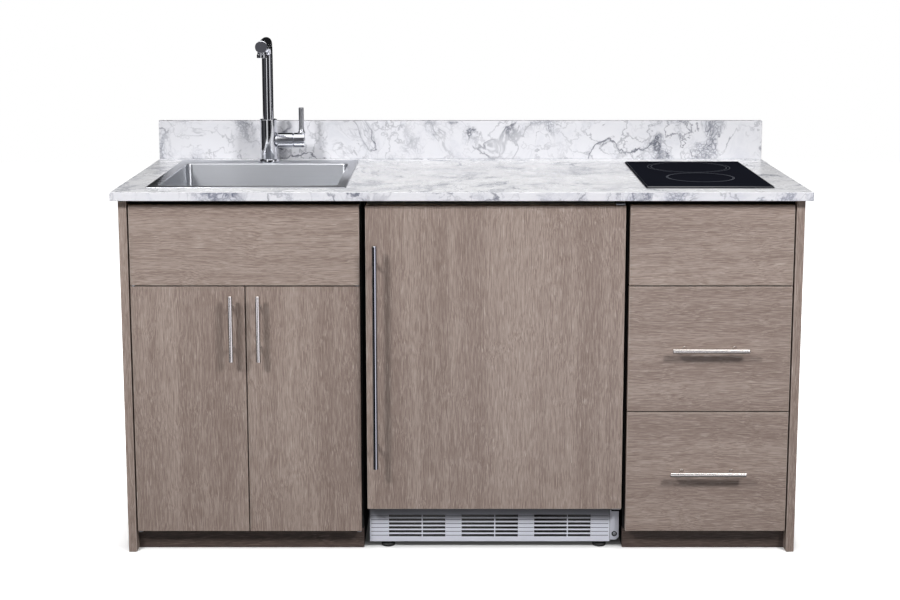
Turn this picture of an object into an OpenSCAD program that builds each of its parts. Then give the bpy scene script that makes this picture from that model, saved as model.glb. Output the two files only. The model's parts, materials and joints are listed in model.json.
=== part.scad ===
// Kitchenette unit: worktop with a drop-in sink and a glass hob, a sink cabinet with two doors,
// a drawer cabinet, and a built-in fridge in the bay between them.
// Millimetres. +X right, +Y towards the wall, +Z up. Origin on the floor, in the middle of the unit.

/* [Cabinet run] */
// Height of the worktop's top face above the floor
counter_h = 864; // [820:1:920]
// Depth from the wall to the faces of the doors and drawers
door_plane_d = 610; // [590:1:660]
// Outer width of the sink cabinet
sink_cab_w = 536.5; // [530:0.5:640]
// Outer width of the drawer cabinet
drawer_cab_w = 385; // [370:1:500]
// Thickness of the two full-height end panels
end_panel_t = 19; // [16:1:25]

/* [Worktop] */
// Thickness of the worktop
worktop_t = 20; // [18:1:40]
// Worktop overhang past the door faces
front_overhang = 25; // [15:1:40]
// Worktop overhang past each end panel
side_overhang = 13; // [5:1:25]
// Height of the backsplash above the worktop
splash_h = 102; // [60:1:160]
// Thickness of the backsplash
splash_t = 19; // [12:1:25]

/* [Boards] */
// Thickness of doors, drawer fronts and the fridge overlay panel
front_t = 19; // [17:0.5:22]
// Thickness of the cabinet sides, floors and rails
carcass_t = 16; // [15:1:19]
// Thickness of the cabinet backs
back_t = 6; // [3:1:8]
// Gap between a cabinet's outer face and its fronts
side_reveal = 4; // [3:0.5:6]
// Gap between the two doors
door_gap = 3; // [2:0.5:4]
// Gap between the worktop and the top of the fronts
top_reveal = 13; // [8:1:20]
// Gap between a door's back and the cabinet's front edge
bumper_gap = 2.5; // [2:0.5:4]
// Height of a false front
false_front_h = 187.5; // [180:0.5:200]
// Height of the space under the cabinet floors
toe_h = 51; // [45:1:100]
// Distance of the toe kick behind the door faces
toe_recess = 30; // [26:1:60]
// Gap between the toe kick and the cabinet floor
toe_kick_gap = 2.5; // [2.2:0.1:5]
// Height of an upright front rail
top_rail_h = 60; // [40:1:70]
// Depth of a flat rail
flat_rail_d = 50; // [40:1:55]

/* [Door pivots] */
// Radius of a door pivot pin
pivot_pin_r = 3; // [2.5:0.1:3.2]
// Radial clearance of a door pivot pin
pivot_clear = 0.05; // [0.02:0.01:0.1]
// Distance of a door's pivot axis from its edge and its face
pivot_inset = 6; // [5.5:0.5:7]
// Thickness of a pivot leaf
leaf_t = 2; // [1.5:0.1:2]
// Gap between a pivot leaf and the door
leaf_gap = 1; // [0.6:0.1:1.5]
// Depth of a pivot bush in the door
bush_depth = 14; // [10:1:25]
// Radius of a pivot bush
bush_r = 4.5; // [4:0.1:5]
// Length of a pivot leaf behind the pivot axis
leaf_l = 36; // [26:1:40]

/* [Handles] */
// Diameter of the handle bars
bar_d = 12; // [10:0.5:14]
// Diameter of the handle posts
post_d = 8; // [6:0.5:9]
// Reach of the door and drawer handles
handle_reach = 32; // [28:1:36]
// Length of a door handle
door_handle_l = 156; // [130:1:200]
// Spacing of a door handle's posts
door_post_gap = 96; // [64:1:110]
// Length of a drawer handle
drawer_handle_l = 178; // [150:1:220]
// Spacing of a drawer handle's posts
drawer_post_gap = 116; // [96:1:130]
// Distance of a door handle's axis from the meeting edge
door_handle_inset = 30; // [24:1:40]
// Distance from a door's top to the top of its handle
door_handle_drop = 16.5; // [10:0.5:40]
// Height of a drawer handle above the middle of its front
drawer_handle_rise = 2; // [0:0.5:10]

/* [Drawers] */
// Height of the lower drawer front
lower_front_h = 289; // [270:1:310]
// Height of a drawer box
drawer_box_h = 180; // [120:1:200]
// Length of a drawer box
drawer_box_l = 500; // [400:1:540]
// Thickness of a drawer box's walls
drawer_wall_t = 12; // [10:0.5:16]
// Thickness of a drawer box's bottom
drawer_bottom_t = 6; // [4:0.5:9]
// Height of a drawer box above the lower edge of its front
drawer_box_rise = 28; // [26:1:40]
// Width of the space for a runner on each side
runner_space = 12.7; // [12.5:0.1:14]
// Outer height of a runner channel
channel_h = 30; // [28:1:34]
// Sheet thickness of the channels and runners
channel_t = 1.2; // [1:0.1:1.5]
// Radius of a runner roller
roller_r = 9; // [8:0.5:9.5]
// Width of a runner roller
roller_w = 7; // [6:0.5:8]

/* [Sink] */
// Distance of the sink's rim from the outer faces of its cabinet
sink_side_gap = 36.25; // [34:0.25:60]
// Distance of the sink's rim from the backsplash
sink_back_gap = 40.5; // [30:0.5:60]
// Thickness of the sink's rim
sink_rim_t = 2; // [1.5:0.1:3]
// Width of the rim at each side of the bowl
rim_side_w = 24; // [20:1:60]
// Depth of the tap deck behind the bowl
tap_deck_w = 72; // [62:1:90]
// Depth of the bowl below the rim
bowl_depth = 170; // [140:1:180]
// Corner radius of the bowl
bowl_r = 14; // [10:1:30]
// Sheet thickness of the bowl
bowl_t = 1.5; // [1:0.1:2]
// Width of the rim in front of the bowl
rim_front_w = 30; // [24:1:34]
// Distance from the worktop's front edge to the rim
sink_front_gap = 69.5; // [64:0.5:75]
// Width of the rim that rests on the worktop
rim_rest_w = 12; // [10:0.5:13]
// Radius of the hole for the drain
drain_hole_r = 43.5; // [40:0.5:46]
// Depth of the drain cup
drain_cup_h = 52; // [40:1:60]
// Outer radius of the tailpiece
tail_r = 19.05; // [15:0.05:20]
// Length of the tailpiece below the drain cup
tail_l = 90; // [60:1:120]
// Sheet thickness of the drain and strainer
drain_t = 2; // [1.5:0.1:2.5]

/* [Tap] */
// Distance of the tap's axis in front of the sink's rear edge
tap_deck_y = 38.5; // [30:0.5:42]
// Diameter of the tap's flange
tap_flange_d = 55; // [50:1:58]
// Height of the tap's flange
tap_flange_h = 9; // [5:0.5:12]
// Diameter of the tap's body
tap_body_d = 44; // [42:1:48]
// Height of the tap's body above the sink deck
tap_body_h = 112; // [106:1:130]
// Diameter of the spout tube
spout_d = 28; // [24:0.5:30]
// Radial clearance of the spout in the body
spout_clear = 0.05; // [0.02:0.01:0.1]
// Height of the spout's centre line above the worktop
spout_h = 314; // [260:1:340]
// Reach of the spout from the tap's axis to its end
spout_reach = 261; // [200:1:270]
// Bend radius of the spout's centre line
spout_bend_r = 35; // [30:1:60]
// Swing of the spout from straight ahead at rest
spout_rest_deg = 3.7; // [0:0.1:20]
// Depth of the spout's foot inside the body
spout_foot = 34; // [25:1:34]
// Diameter of the aerator
aerator_d = 24; // [20:0.5:26]
// Distance of the aerator's lower end under the spout tube
aerator_drop = 13; // [8:0.5:20]
// Height of the valve's axis above the worktop
valve_h = 59; // [56:0.5:60]
// Diameter of the side valve and its cap
valve_d = 39; // [34:0.5:40]
// Length of the side valve from the tap's axis
valve_l = 65; // [55:1:75]
// Length of the valve's cap
valve_cap_l = 28; // [26:1:32]
// Gap between the valve and its cap
valve_cap_gap = 0.6; // [0.4:0.1:1]
// Radius of the valve stem
stem_r = 8; // [6:0.5:9]
// Radial clearance of the valve stem
stem_clear = 0.05; // [0.02:0.01:0.1]
// Diameter of the lever
lever_d = 13; // [10:0.5:13]
// Height of the lever's top above the valve's axis
lever_top = 85; // [60:1:110]
// Height of the lever's pivot above the valve's axis
lever_pivot_rise = 6; // [4:0.5:8]
// Radius of the lever's pivot pin
lever_pin_r = 2; // [1.5:0.1:2.5]
// Radial clearance of the lever's pivot pin
lever_pin_clear = 0.05; // [0.02:0.01:0.1]
// Radius of the threaded shank under the deck
shank_r = 16; // [14:0.5:16.5]
// Length of the shank below the deck
shank_l = 40; // [25:1:60]
// Radius of an inlet tail
tail_pipe_r = 5; // [4:0.5:5]
// Length of an inlet tail below the shank
tail_pipe_l = 70; // [50:1:200]
// Distance between the two inlet tails
tail_pipe_gap = 21; // [18:0.5:21]

/* [Hob] */
// Width of the hob's glass
hob_w = 297; // [280:1:300]
// Depth of the hob's glass from front to back
hob_d = 464; // [440:1:480]
// Thickness of the hob's glass
hob_glass_t = 5; // [4:0.5:6]
// Width of the bevel around the glass
hob_bevel = 3; // [1:0.5:4]
// Distance from the worktop's front edge to the glass
hob_front_gap = 62; // [58:1:75]
// Overlap of the glass on the worktop on each side
hob_rest_w = 11; // [8:0.5:14]
// Height of the pan below the worktop's top face
hob_pan_h = 48; // [40:1:60]
// Sheet thickness of the pan
hob_pan_t = 1.5; // [1:0.1:2]
// Diameter of the rear zone
rear_zone_d = 206; // [180:1:215]
// Diameter of the front zone
front_zone_d = 162; // [140:1:180]
// Distance of the rear zone from the glass's rear edge
rear_zone_gap = 14; // [13:0.5:20]
// Gap between the two zones
zone_gap = 6; // [2:1:20]
// Distance of a heating element's rim inside its zone
element_inset = 3; // [2:0.5:8]
// Thickness of a heating element
element_h = 24; // [15:1:30]

/* [Fridge] */
// Outer width of the fridge's case
fridge_w = 595; // [500:1:640]
// Gap between the fridge's case and each side of its bay, if the fridge stood in the middle
fridge_side_gap = 9.75; // [8:0.25:20]
// Offset of the fridge from the middle of its bay, to the right
fridge_shift = 2; // [0:0.5:3]
// Gap between the fridge's back and the wall
fridge_wall_gap = 40; // [20:1:60]
// Overlap of the overlay panel past each side of the case
panel_lap = 1.5; // [0:0.5:3]
// Height of the overlay panel's lower edge
panel_bottom = 106; // [104:1:120]
// Distance of the overlay panel's top below the tops of the fronts
panel_drop = 1.5; // [0:0.5:5]
// Thickness of the insulated door
fridge_door_t = 41; // [35:1:50]
// Thickness of the door gasket
gasket_t = 7.4; // [5:0.1:9]
// Gap between the gasket and the case
gasket_gap = 0.6; // [0.4:0.1:1]
// Distance of the gasket from the door's edges
gasket_inset = 12; // [10:1:16]
// Width of the gasket
gasket_w = 14; // [10:1:18]
// Thickness of the insulated walls
wall_t = 38; // [30:1:45]
// Thickness of the liner
liner_t = 2; // [1.5:0.1:3]
// Height of the insulated floor
case_floor_t = 45; // [40:1:55]
// Height of the chassis' underside above the floor
chassis_z = 14; // [10:1:16]
// Height of the case's underside above the floor
case_z = 104; // [103.5:0.5:110]
// Depth of the compressor's niche
niche_d = 170; // [150:1:190]
// Height of the compressor's niche
niche_h = 150; // [130:1:160]
// Diameter of the compressor
compressor_d = 124; // [100:1:130]
// Height of the compressor
compressor_h = 150; // [120:1:170]
// Diameter of a levelling foot
foot_d = 33; // [25:1:40]
// Distance of the feet from the case's sides
foot_inset = 45; // [35:1:60]
// Radius of a foot's screw
foot_screw_r = 5; // [4:0.5:6]

/* [Fridge hinges and handle] */
// Distance of the hinge axis from the panel's right edge
fridge_axis_x = 12; // [11:0.5:12.5]
// Distance of the hinge axis behind the panel's face
fridge_axis_y = 14; // [13:0.5:14]
// Radius of a fridge hinge pin
fridge_pin_r = 4; // [3:0.1:4.5]
// Radial clearance of a fridge hinge pin
fridge_pin_clear = 0.05; // [0.02:0.01:0.1]
// Thickness of the hinge plates on the door
door_plate_t = 3.5; // [3:0.1:3.5]
// Thickness of the fixed hinge brackets
bracket_t = 3; // [2.5:0.1:4]
// Gap between a door plate and its bracket
hinge_gap = 1; // [0.6:0.1:1.5]
// Depth of a hinge bush in the panel
fridge_bush_h = 12; // [8:1:20]
// Width of a hinge bracket
bracket_w = 21; // [20:0.5:21]
// Diameter of the fridge handle
fridge_bar_d = 12; // [10:0.5:16]
// Length of the fridge handle
fridge_handle_l = 527; // [400:1:600]
// Spacing of the fridge handle's posts
fridge_post_gap = 432; // [320:1:480]
// Reach of the fridge handle
fridge_handle_reach = 42; // [35:1:50]
// Distance of the fridge handle from the panel's left edge
fridge_handle_inset = 22; // [18:1:40]
// Height of the handle's middle above the panel's middle
fridge_handle_rise = 11; // [0:1:20]

/* [Fridge grille] */
// Distance of the grille behind the door faces
grille_recess = 33; // [32:0.5:36]
// Depth of the grille
grille_d = 12; // [8:1:14]
// Wall thickness of the grille
grille_t = 3; // [2:0.5:3]
// Height of the grille's top edge
grille_top = 98; // [94:1:98]
// Distance of the grille from the case's left side
grille_left = 1.5; // [1:0.25:12]
// Width of a group of slots
slot_group_w = 134; // [110:1:140]
// Spacing of the slot groups
slot_group_pitch = 173; // [165:1:175]
// Height of a slot
slot_h = 5.2; // [3:0.1:6]
// Spacing of the slots in height
slot_pitch = 9.7; // [9:0.1:10.5]
// Number of slots in a group
slot_count = 6; // [3:1:6]
// Height of the lowest slot's middle
slot_z = 29; // [28:1:32]
// Width of the rib between the two halves of a group
slot_rib = 3; // [2:0.5:5]
// Distance from a group's left end to its rib
slot_rib_x = 79; // [50:1:90]
// Height of the hinge cover plate
hinge_cover_h = 74; // [40:1:75]

/* [Fridge inside] */
// Number of door racks
rack_count = 3; // [1:1:3]
// Gap between a door rack and the liner at each side
rack_side_gap = 22.5; // [18:0.5:60]
// Depth of a door rack
rack_d = 74; // [60:1:78]
// Height of a door rack
rack_h = 60; // [40:1:80]
// Wall thickness of the racks and the crisper
rack_t = 2.5; // [2:0.1:3]
// Spacing of the door racks
rack_pitch = 215; // [190:1:225]
// Gap between the door racks and what is behind them
rack_gap = 10; // [8:1:20]
// Thickness of a glass shelf
shelf_t = 4; // [3:0.5:6]
// Number of glass shelves above the crisper's cover
shelf_count = 2; // [1:1:2]
// Height of the space above the top shelf
top_bay_h = 173; // [150:1:200]
// Gap between a shelf and the liner at each side
shelf_clear = 1; // [0.5:0.1:3]
// Width of a shelf ledge
ledge_w = 8; // [5:1:12]
// Height of a shelf ledge
ledge_h = 5; // [4:1:8]
// Gap between the crisper and what is around it
crisper_gap = 3; // [1:0.5:8]
// Diameter of the thermostat knob
knob_d = 36; // [28:1:40]
// Length of the thermostat knob
knob_l = 14; // [10:1:20]
// Radius of the knob's shaft
knob_shaft_r = 3; // [2.5:0.1:4]
// Radial clearance of the knob's shaft
knob_clear = 0.05; // [0.02:0.01:0.1]
// Width of the thermostat housing
thermo_w = 70; // [60:1:80]
// Height of the thermostat housing
thermo_h = 90; // [60:1:100]
// Depth of the thermostat housing
thermo_d = 28; // [20:1:40]
// Gap between the thermostat housing and the ceiling
thermo_top_gap = 43; // [10:1:60]

/* [Hidden] */
$fn = 64;
eps = 1;

// Cabinet run, left to right
bay_w = fridge_w + 2*fridge_side_gap;
run_w = 2*end_panel_t + sink_cab_w + bay_w + drawer_cab_w;
x_left = -run_w/2;
sink_x0 = x_left + end_panel_t;
sink_x1 = sink_x0 + sink_cab_w;
sink_mid = (sink_x0 + sink_x1)/2;
drawer_x0 = sink_x1 + bay_w;
drawer_x1 = drawer_x0 + drawer_cab_w;
drawer_mid = (drawer_x0 + drawer_x1)/2;

// Depth, front to back; the middle lies half way between the fridge handle and the wall
y_wall = (door_plane_d + fridge_handle_reach)/2;
y_face = y_wall - door_plane_d;
y_top = y_face - front_overhang;
y_front_back = y_face + front_t;
y_carcass = y_front_back + bumper_gap;
y_back = y_wall - back_t;
y_kick = y_face + toe_recess;

// Heights
z_under = counter_h - worktop_t;
z_fronts = z_under - top_reveal;
z_false = z_fronts - false_front_h;
row_gap = leaf_t + leaf_gap;
z_row_top = z_false - row_gap;
z_row_low = toe_h + leaf_gap;
upper_front_z = z_row_low + lower_front_h + row_gap;
upper_front_h = z_row_top - upper_front_z;

// Doors
front_x0 = sink_x0 + side_reveal;
front_x1 = sink_x1 - side_reveal;
door_w = (front_x1 - front_x0 - door_gap)/2;
door_h = z_row_top - z_row_low;
left_pivot_x = front_x0 + pivot_inset;
right_pivot_x = front_x1 - pivot_inset;
pivot_y = y_face + pivot_inset;
leaf_w = 2*pivot_inset - 1;
handle_axis = handle_reach - bar_d/2;

// Drawers
dfront_x0 = drawer_x0 + side_reveal;
dfront_w = drawer_cab_w - 2*side_reveal;
box_w = drawer_cab_w - 2*carcass_t - 2*runner_space;
roller_gap = 0.2;
channel_end_gap = 10;
roller_drop = channel_h/2 - channel_t - roller_r - roller_gap;
flange_z = roller_r + roller_gap - roller_drop;
roller_end = 14;
channel_l = drawer_box_l - channel_end_gap;
runner_gap = 1.8;

// Sink
rim_y0 = y_top + sink_front_gap;
rim_y1 = y_wall - splash_t - sink_back_gap;
sink_rim_w = sink_cab_w - 2*sink_side_gap;
sink_rim_d = rim_y1 - rim_y0;
bowl_w = sink_rim_w - 2*rim_side_w;
bowl_d = sink_rim_d - rim_front_w - tap_deck_w;
bowl_y = rim_y0 + rim_front_w + bowl_d/2;
z_deck = counter_h + sink_rim_t;
z_bowl = z_deck - bowl_depth;
rim_y = rim_y0 + sink_rim_d/2;
rim_r = 4;
sink_hole_w = sink_rim_w - 2*rim_rest_w;
sink_hole_d = sink_rim_d - 2*rim_rest_w;
drain_flange_r = drain_hole_r + 12;
drain_flange_t = 1.5;
drain_fit = 0.5;
z_cup = z_bowl - drain_cup_h;
clip_w = 20;
clip_t = 2;
clip_grip = 14;
clip_h = 26;

// Tap
tap_x = sink_mid;
tap_wy = rim_y1 - tap_deck_y;
z_body_top = z_deck + tap_body_h;
z_valve = counter_h + valve_h;
z_spout = counter_h + spout_h;
groove = 1.5;
cap_x0 = valve_l + valve_cap_gap;
lever_x = cap_x0 + valve_cap_l - lever_d/2 - 1.5;
slot_clear = 0.4;
stem_foot = 22;
end_cap_d = spout_d + 2;
end_cap_l = 4;
aerator_inset = end_cap_l + aerator_d/2 + 2;
nut_r = shank_r + 7;
nut_h = 10;
hole_clear = 0.5;
aerator_bore_r = 8;

// Hob
hob_y0 = y_top + hob_front_gap;
hob_clear = 2;
pan_w = hob_w - 2*hob_rest_w - 2*hob_clear;
pan_d = hob_d - 2*hob_rest_w - 2*hob_clear;
hob_r = 6;
rear_zone_y = hob_y0 + hob_d - rear_zone_gap - rear_zone_d/2;
front_zone_y = rear_zone_y - (rear_zone_d + front_zone_d)/2 - zone_gap;

// Fridge
fridge_mid = (sink_x1 + drawer_x0)/2 + fridge_shift;
case_x0 = fridge_mid - fridge_w/2;
case_x1 = fridge_mid + fridge_w/2;
panel_w = fridge_w + 2*panel_lap;
panel_x0 = fridge_mid - panel_w/2;
panel_x1 = fridge_mid + panel_w/2;
panel_top = z_fronts - panel_drop;
panel_h = panel_top - panel_bottom;
case_top = panel_top + door_plate_t + hinge_gap;
door_y1 = y_front_back + fridge_door_t;
case_y0 = door_y1 + gasket_t + gasket_gap;
case_y1 = y_wall - fridge_wall_gap;
hinge_x = panel_x1 - fridge_axis_x;
hinge_y = y_face + fridge_axis_y;
fridge_bush_r = fridge_pin_r + 3;
bush_pocket = 0.5;
plate_front = 8;
bracket_z = panel_bottom - door_plate_t - hinge_gap - bracket_t;
plate_x0 = case_x1 - bracket_w;
grille_y = y_face + grille_recess;
grille_x1 = plate_x0 - 0.5;
grille_x0 = case_x0 + grille_left;
chassis_t = 2;
step_z = case_z + niche_h + wall_t;
step_y = case_y1 - niche_d - wall_t;
inner_y1 = case_y1 - wall_t;
inner_top = case_top - wall_t;
rack_y1 = door_y1 + rack_d;
inside_y0 = rack_y1 + rack_gap;
cover_z = step_z + ledge_h;
shelf_back_gap = 12;
shelf_pitch = (inner_top - liner_t - top_bay_h - cover_z)/shelf_count;
rack_w = fridge_w - 2*(wall_t + liner_t + rack_side_gap);
rack_z0 = case_z + case_floor_t + 38;
thermo_z = inner_top - liner_t - thermo_top_gap - thermo_h;
thermo_x0 = fridge_mid + fridge_w/2 - wall_t - liner_t - thermo_d;
thermo_y = inside_y0 + 20 + thermo_w/2;

// ---- Shapes that repeat ----

// A box given by its low corner and its high corner
module box(low, high) {
  translate(low) cube(high - low);
}

// A rectangle with round corners, centred
module round_rect(w, d, r) {
  square([w - 2*r, d], center = true);
  square([w, d - 2*r], center = true);
  for (sx = [-1, 1], sy = [-1, 1])
    translate([sx*(w/2 - r), sy*(d/2 - r)]) circle(r = r);
}

// A bar handle along X on a face at y = 0, standing off towards -Y
module bar_handle(length, post_gap, bar, post, reach) {
  axis = reach - bar/2;
  translate([0, -axis, 0]) rotate([0, 90, 0]) cylinder(d = bar, h = length, center = true);
  for (s = [-1, 1])
    translate([s*post_gap/2, 0, 0]) rotate([90, 0, 0]) cylinder(d = post, h = axis);
}

// A cabinet side with its toe notch, in the plane x = 0 and going to +X
module cabinet_side() {
  notch = y_kick + carcass_t;
  rotate([90, 0, 90]) linear_extrude(carcass_t)
    polygon([[notch, 0], [y_wall, 0], [y_wall, z_under], [y_carcass, z_under],
             [y_carcass, toe_h], [notch, toe_h]]);
}

// A pivot leaf with its pin: the plate lies at z = 0 and below, the pin stands up
module pivot_leaf() {
  translate([0, 0, -leaf_t]) {
    cylinder(d = leaf_w, h = leaf_t);
    translate([-leaf_w/2, 0, 0]) cube([leaf_w, leaf_l, leaf_t]);
  }
  cylinder(r = pivot_pin_r, h = leaf_gap + bush_depth - 2);
}

// A door bush with its bore, from z = 0 upwards
module pivot_bush() {
  difference() {
    cylinder(r = bush_r, h = bush_depth);
    translate([0, 0, -eps]) cylinder(r = pivot_pin_r + pivot_clear, h = bush_depth + 2*eps);
  }
}

// A door between x0 and x0 + door_w, with sockets for its two bushes at pivot_x
module pivot_door(x0, pivot_x) {
  difference() {
    box([x0, y_face, z_row_low], [x0 + door_w, y_front_back, z_row_top]);
    for (z = [z_row_low - eps, z_row_top - bush_depth])
      translate([pivot_x, pivot_y, z]) cylinder(r = bush_r, h = bush_depth + eps);
  }
}

// Both bushes of a door
module door_bushes(pivot_x) {
  translate([pivot_x, pivot_y, z_row_low]) pivot_bush();
  translate([pivot_x, pivot_y, z_row_top - bush_depth]) pivot_bush();
}

// A door handle, upright, with its axis at x
module door_handle_at(x) {
  z = z_row_top - door_handle_drop - door_handle_l/2;
  translate([x, y_face, z]) rotate([0, 90, 0])
    bar_handle(door_handle_l, door_post_gap, bar_d, post_d, handle_reach);
}

// A drawer front from height z0
module drawer_front_at(z0, h) {
  box([dfront_x0, y_face, z0], [dfront_x0 + dfront_w, y_front_back, z0 + h]);
}

// A drawer box whose front stands on height z0
module drawer_box_at(z0) {
  low = z0 + drawer_box_rise;
  x0 = drawer_mid - box_w/2;
  x1 = drawer_mid + box_w/2;
  difference() {
    box([x0, y_front_back, low], [x1, y_front_back + drawer_box_l, low + drawer_box_h]);
    box([x0 + drawer_wall_t, y_front_back + drawer_wall_t, low + drawer_bottom_t],
        [x1 - drawer_wall_t, y_front_back + drawer_box_l - drawer_wall_t, low + drawer_box_h + eps]);
  }
}

// A drawer handle on the front from height z0
module drawer_handle_at(z0, h) {
  translate([drawer_mid, y_face, z0 + h/2 + drawer_handle_rise])
    bar_handle(drawer_handle_l, drawer_post_gap, bar_d, post_d, handle_reach);
}

// Height of the runner's centre for a front that stands on height z0
function runner_z(z0) = z0 + drawer_box_rise + channel_h/2;

// The cabinet's channel at x = 0, open towards +X, with its front roller
module channel() {
  tip = runner_space - channel_t - runner_gap;
  difference() {
    translate([0, y_carcass, -channel_h/2]) cube([tip, channel_l, channel_h]);
    translate([channel_t, y_carcass - eps, -channel_h/2 + channel_t])
      cube([tip, channel_l + 2*eps, channel_h - 2*channel_t]);
  }
  translate([channel_t, y_carcass + roller_end, -roller_drop]) rotate([0, 90, 0])
    cylinder(r = roller_r, h = roller_w);
}

// The drawer's runner at x = 0, its flange towards -X, with its rear roller
module runner() {
  reach = runner_space - channel_t - runner_gap;
  translate([-channel_t, y_carcass, -channel_h/2 + channel_t])
    cube([channel_t, drawer_box_l - bumper_gap, channel_h/2 - channel_t + flange_z]);
  translate([-reach, y_carcass, flange_z]) cube([reach, drawer_box_l - bumper_gap, channel_t]);
  translate([-reach + runner_gap - channel_t, y_front_back + drawer_box_l - roller_end, -roller_drop])
    rotate([0, 90, 0]) cylinder(r = roller_r, h = reach - runner_gap + channel_t);
}

// Both runners of a drawer whose front stands on height z0
module drawer_runners_at(z0) {
  for (s = [0, 1])
    translate([drawer_mid, 0, runner_z(z0)]) mirror([s, 0, 0]) translate([-box_w/2, 0, 0]) runner();
}

// The fridge's inner space as an L outline in depth and height, drawn in by t, along X
module inner_space(t, extra) {
  w = fridge_w - 2*wall_t - 2*t;
  translate([fridge_mid - w/2, 0, 0]) rotate([90, 0, 90]) linear_extrude(w)
    polygon([[case_y0 - extra, case_z + case_floor_t + t], [step_y - t, case_z + case_floor_t + t],
             [step_y - t, step_z + t], [inner_y1 - t, step_z + t],
             [inner_y1 - t, inner_top - t], [case_y0 - extra, inner_top - t]]);
}

// A pair of shelf ledges whose top is at height z
module ledges(z) {
  half = fridge_w/2 - wall_t - liner_t;
  for (s = [0, 1])
    translate([fridge_mid, 0, 0]) mirror([s, 0, 0])
      box([half - ledge_w, inside_y0, z - ledge_h], [half + liner_t/2, inner_y1 - shelf_back_gap, z]);
}

// ---- Worktop and panels ----

module worktop() {
  color([0.93, 0.93, 0.94]) difference() {
    box([x_left - side_overhang, y_top, z_under], [-x_left + side_overhang, y_wall, counter_h]);
    translate([sink_mid, rim_y, z_under - eps]) linear_extrude(worktop_t + 2*eps)
      square([sink_hole_w, sink_hole_d], center = true);
    translate([drawer_mid, hob_y0 + hob_d/2, z_under - eps]) linear_extrude(worktop_t + 2*eps)
      square([pan_w + 2*hob_clear, pan_d + 2*hob_clear], center = true);
  }
}

module backsplash() {
  color([0.93, 0.93, 0.94])
    box([x_left - side_overhang, y_wall - splash_t, counter_h],
        [-x_left + side_overhang, y_wall, counter_h + splash_h]);
}

module left_end_panel() {
  color([0.6, 0.55, 0.52]) box([x_left, y_face, 0], [sink_x0, y_wall, z_under]);
}

module right_end_panel() {
  color([0.6, 0.55, 0.52]) box([drawer_x1, y_face, 0], [-x_left, y_wall, z_under]);
}

// ---- Cabinets ----

// Sides with a groove in the front edge for each upper pivot leaf
module sink_cabinet_sides() {
  color([0.12, 0.12, 0.13]) difference() {
    union() {
      translate([sink_x0, 0, 0]) cabinet_side();
      translate([sink_x1 - carcass_t, 0, 0]) cabinet_side();
    }
    for (x = [left_pivot_x, right_pivot_x])
      box([x - leaf_w/2, y_carcass - eps, z_false - leaf_t], [x + leaf_w/2, pivot_y + leaf_l, z_false]);
  }
}

module drawer_cabinet_sides() {
  color([0.12, 0.12, 0.13]) {
    translate([drawer_x0, 0, 0]) cabinet_side();
    translate([drawer_x1 - carcass_t, 0, 0]) cabinet_side();
  }
}

module cabinet_floors() {
  color([0.8, 0.78, 0.75]) for (x = [[sink_x0, sink_x1], [drawer_x0, drawer_x1]])
    box([x[0] + carcass_t, y_carcass, toe_h], [x[1] - carcass_t, y_back, toe_h + carcass_t]);
}

// An upright rail and a flat rail behind each false front, and a flat rail at the back
module cabinet_rails() {
  color([0.15, 0.15, 0.16]) for (x = [[sink_x0, sink_x1], [drawer_x0, drawer_x1]]) {
    box([x[0] + carcass_t, y_front_back, z_under - top_rail_h],
        [x[1] - carcass_t, y_front_back + carcass_t, z_under]);
    box([x[0] + carcass_t, y_front_back, z_false],
        [x[1] - carcass_t, y_front_back + flat_rail_d, z_false + carcass_t]);
    box([x[0] + carcass_t, y_back - flat_rail_d, z_under - carcass_t],
        [x[1] - carcass_t, y_back, z_under]);
  }
}

module cabinet_backs() {
  color([0.8, 0.78, 0.75]) for (x = [[sink_x0, sink_x1], [drawer_x0, drawer_x1]])
    box([x[0] + carcass_t, y_back, toe_h], [x[1] - carcass_t, y_wall, z_under]);
}

module toe_kicks() {
  color([0.42, 0.37, 0.35]) for (x = [[sink_x0, sink_x1], [drawer_x0, drawer_x1]])
    box([x[0], y_kick, 0], [x[1], y_kick + carcass_t, toe_h - toe_kick_gap]);
}

module sink_false_front() {
  color([0.62, 0.57, 0.54]) box([front_x0, y_face, z_false], [front_x1, y_front_back, z_fronts]);
}

module hob_false_front() {
  color([0.62, 0.57, 0.54])
    box([dfront_x0, y_face, z_false], [dfront_x0 + dfront_w, y_front_back, z_fronts]);
}

// ---- Doors on pivots ----

module door_pivot_leaves() {
  color([0.7, 0.7, 0.72]) for (x = [left_pivot_x, right_pivot_x]) {
    translate([x, pivot_y, toe_h]) pivot_leaf();
    translate([x, pivot_y, z_false - leaf_t]) mirror([0, 0, 1]) pivot_leaf();
  }
}

module left_door() {
  color([0.62, 0.57, 0.54]) pivot_door(front_x0, left_pivot_x);
}

module left_door_bushes() {
  color([0.75, 0.68, 0.5]) door_bushes(left_pivot_x);
}

module left_door_handle() {
  color([0.75, 0.73, 0.7]) door_handle_at(front_x0 + door_w - door_handle_inset);
}

module right_door() {
  color([0.62, 0.57, 0.54]) pivot_door(front_x1 - door_w, right_pivot_x);
}

module right_door_bushes() {
  color([0.75, 0.68, 0.5]) door_bushes(right_pivot_x);
}

module right_door_handle() {
  color([0.75, 0.73, 0.7]) door_handle_at(front_x1 - door_w + door_handle_inset);
}

// ---- Drawers ----

module drawer_channels() {
  color([0.85, 0.85, 0.86]) for (z0 = [z_row_low, upper_front_z], s = [0, 1])
    translate([drawer_mid, 0, runner_z(z0)]) mirror([s, 0, 0])
      translate([-drawer_cab_w/2 + carcass_t, 0, 0]) channel();
}

module upper_drawer_front() {
  color([0.62, 0.57, 0.54]) drawer_front_at(upper_front_z, upper_front_h);
}

module upper_drawer_box() {
  color([0.85, 0.83, 0.8]) drawer_box_at(upper_front_z);
}

module upper_drawer_handle() {
  color([0.75, 0.73, 0.7]) drawer_handle_at(upper_front_z, upper_front_h);
}

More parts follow.
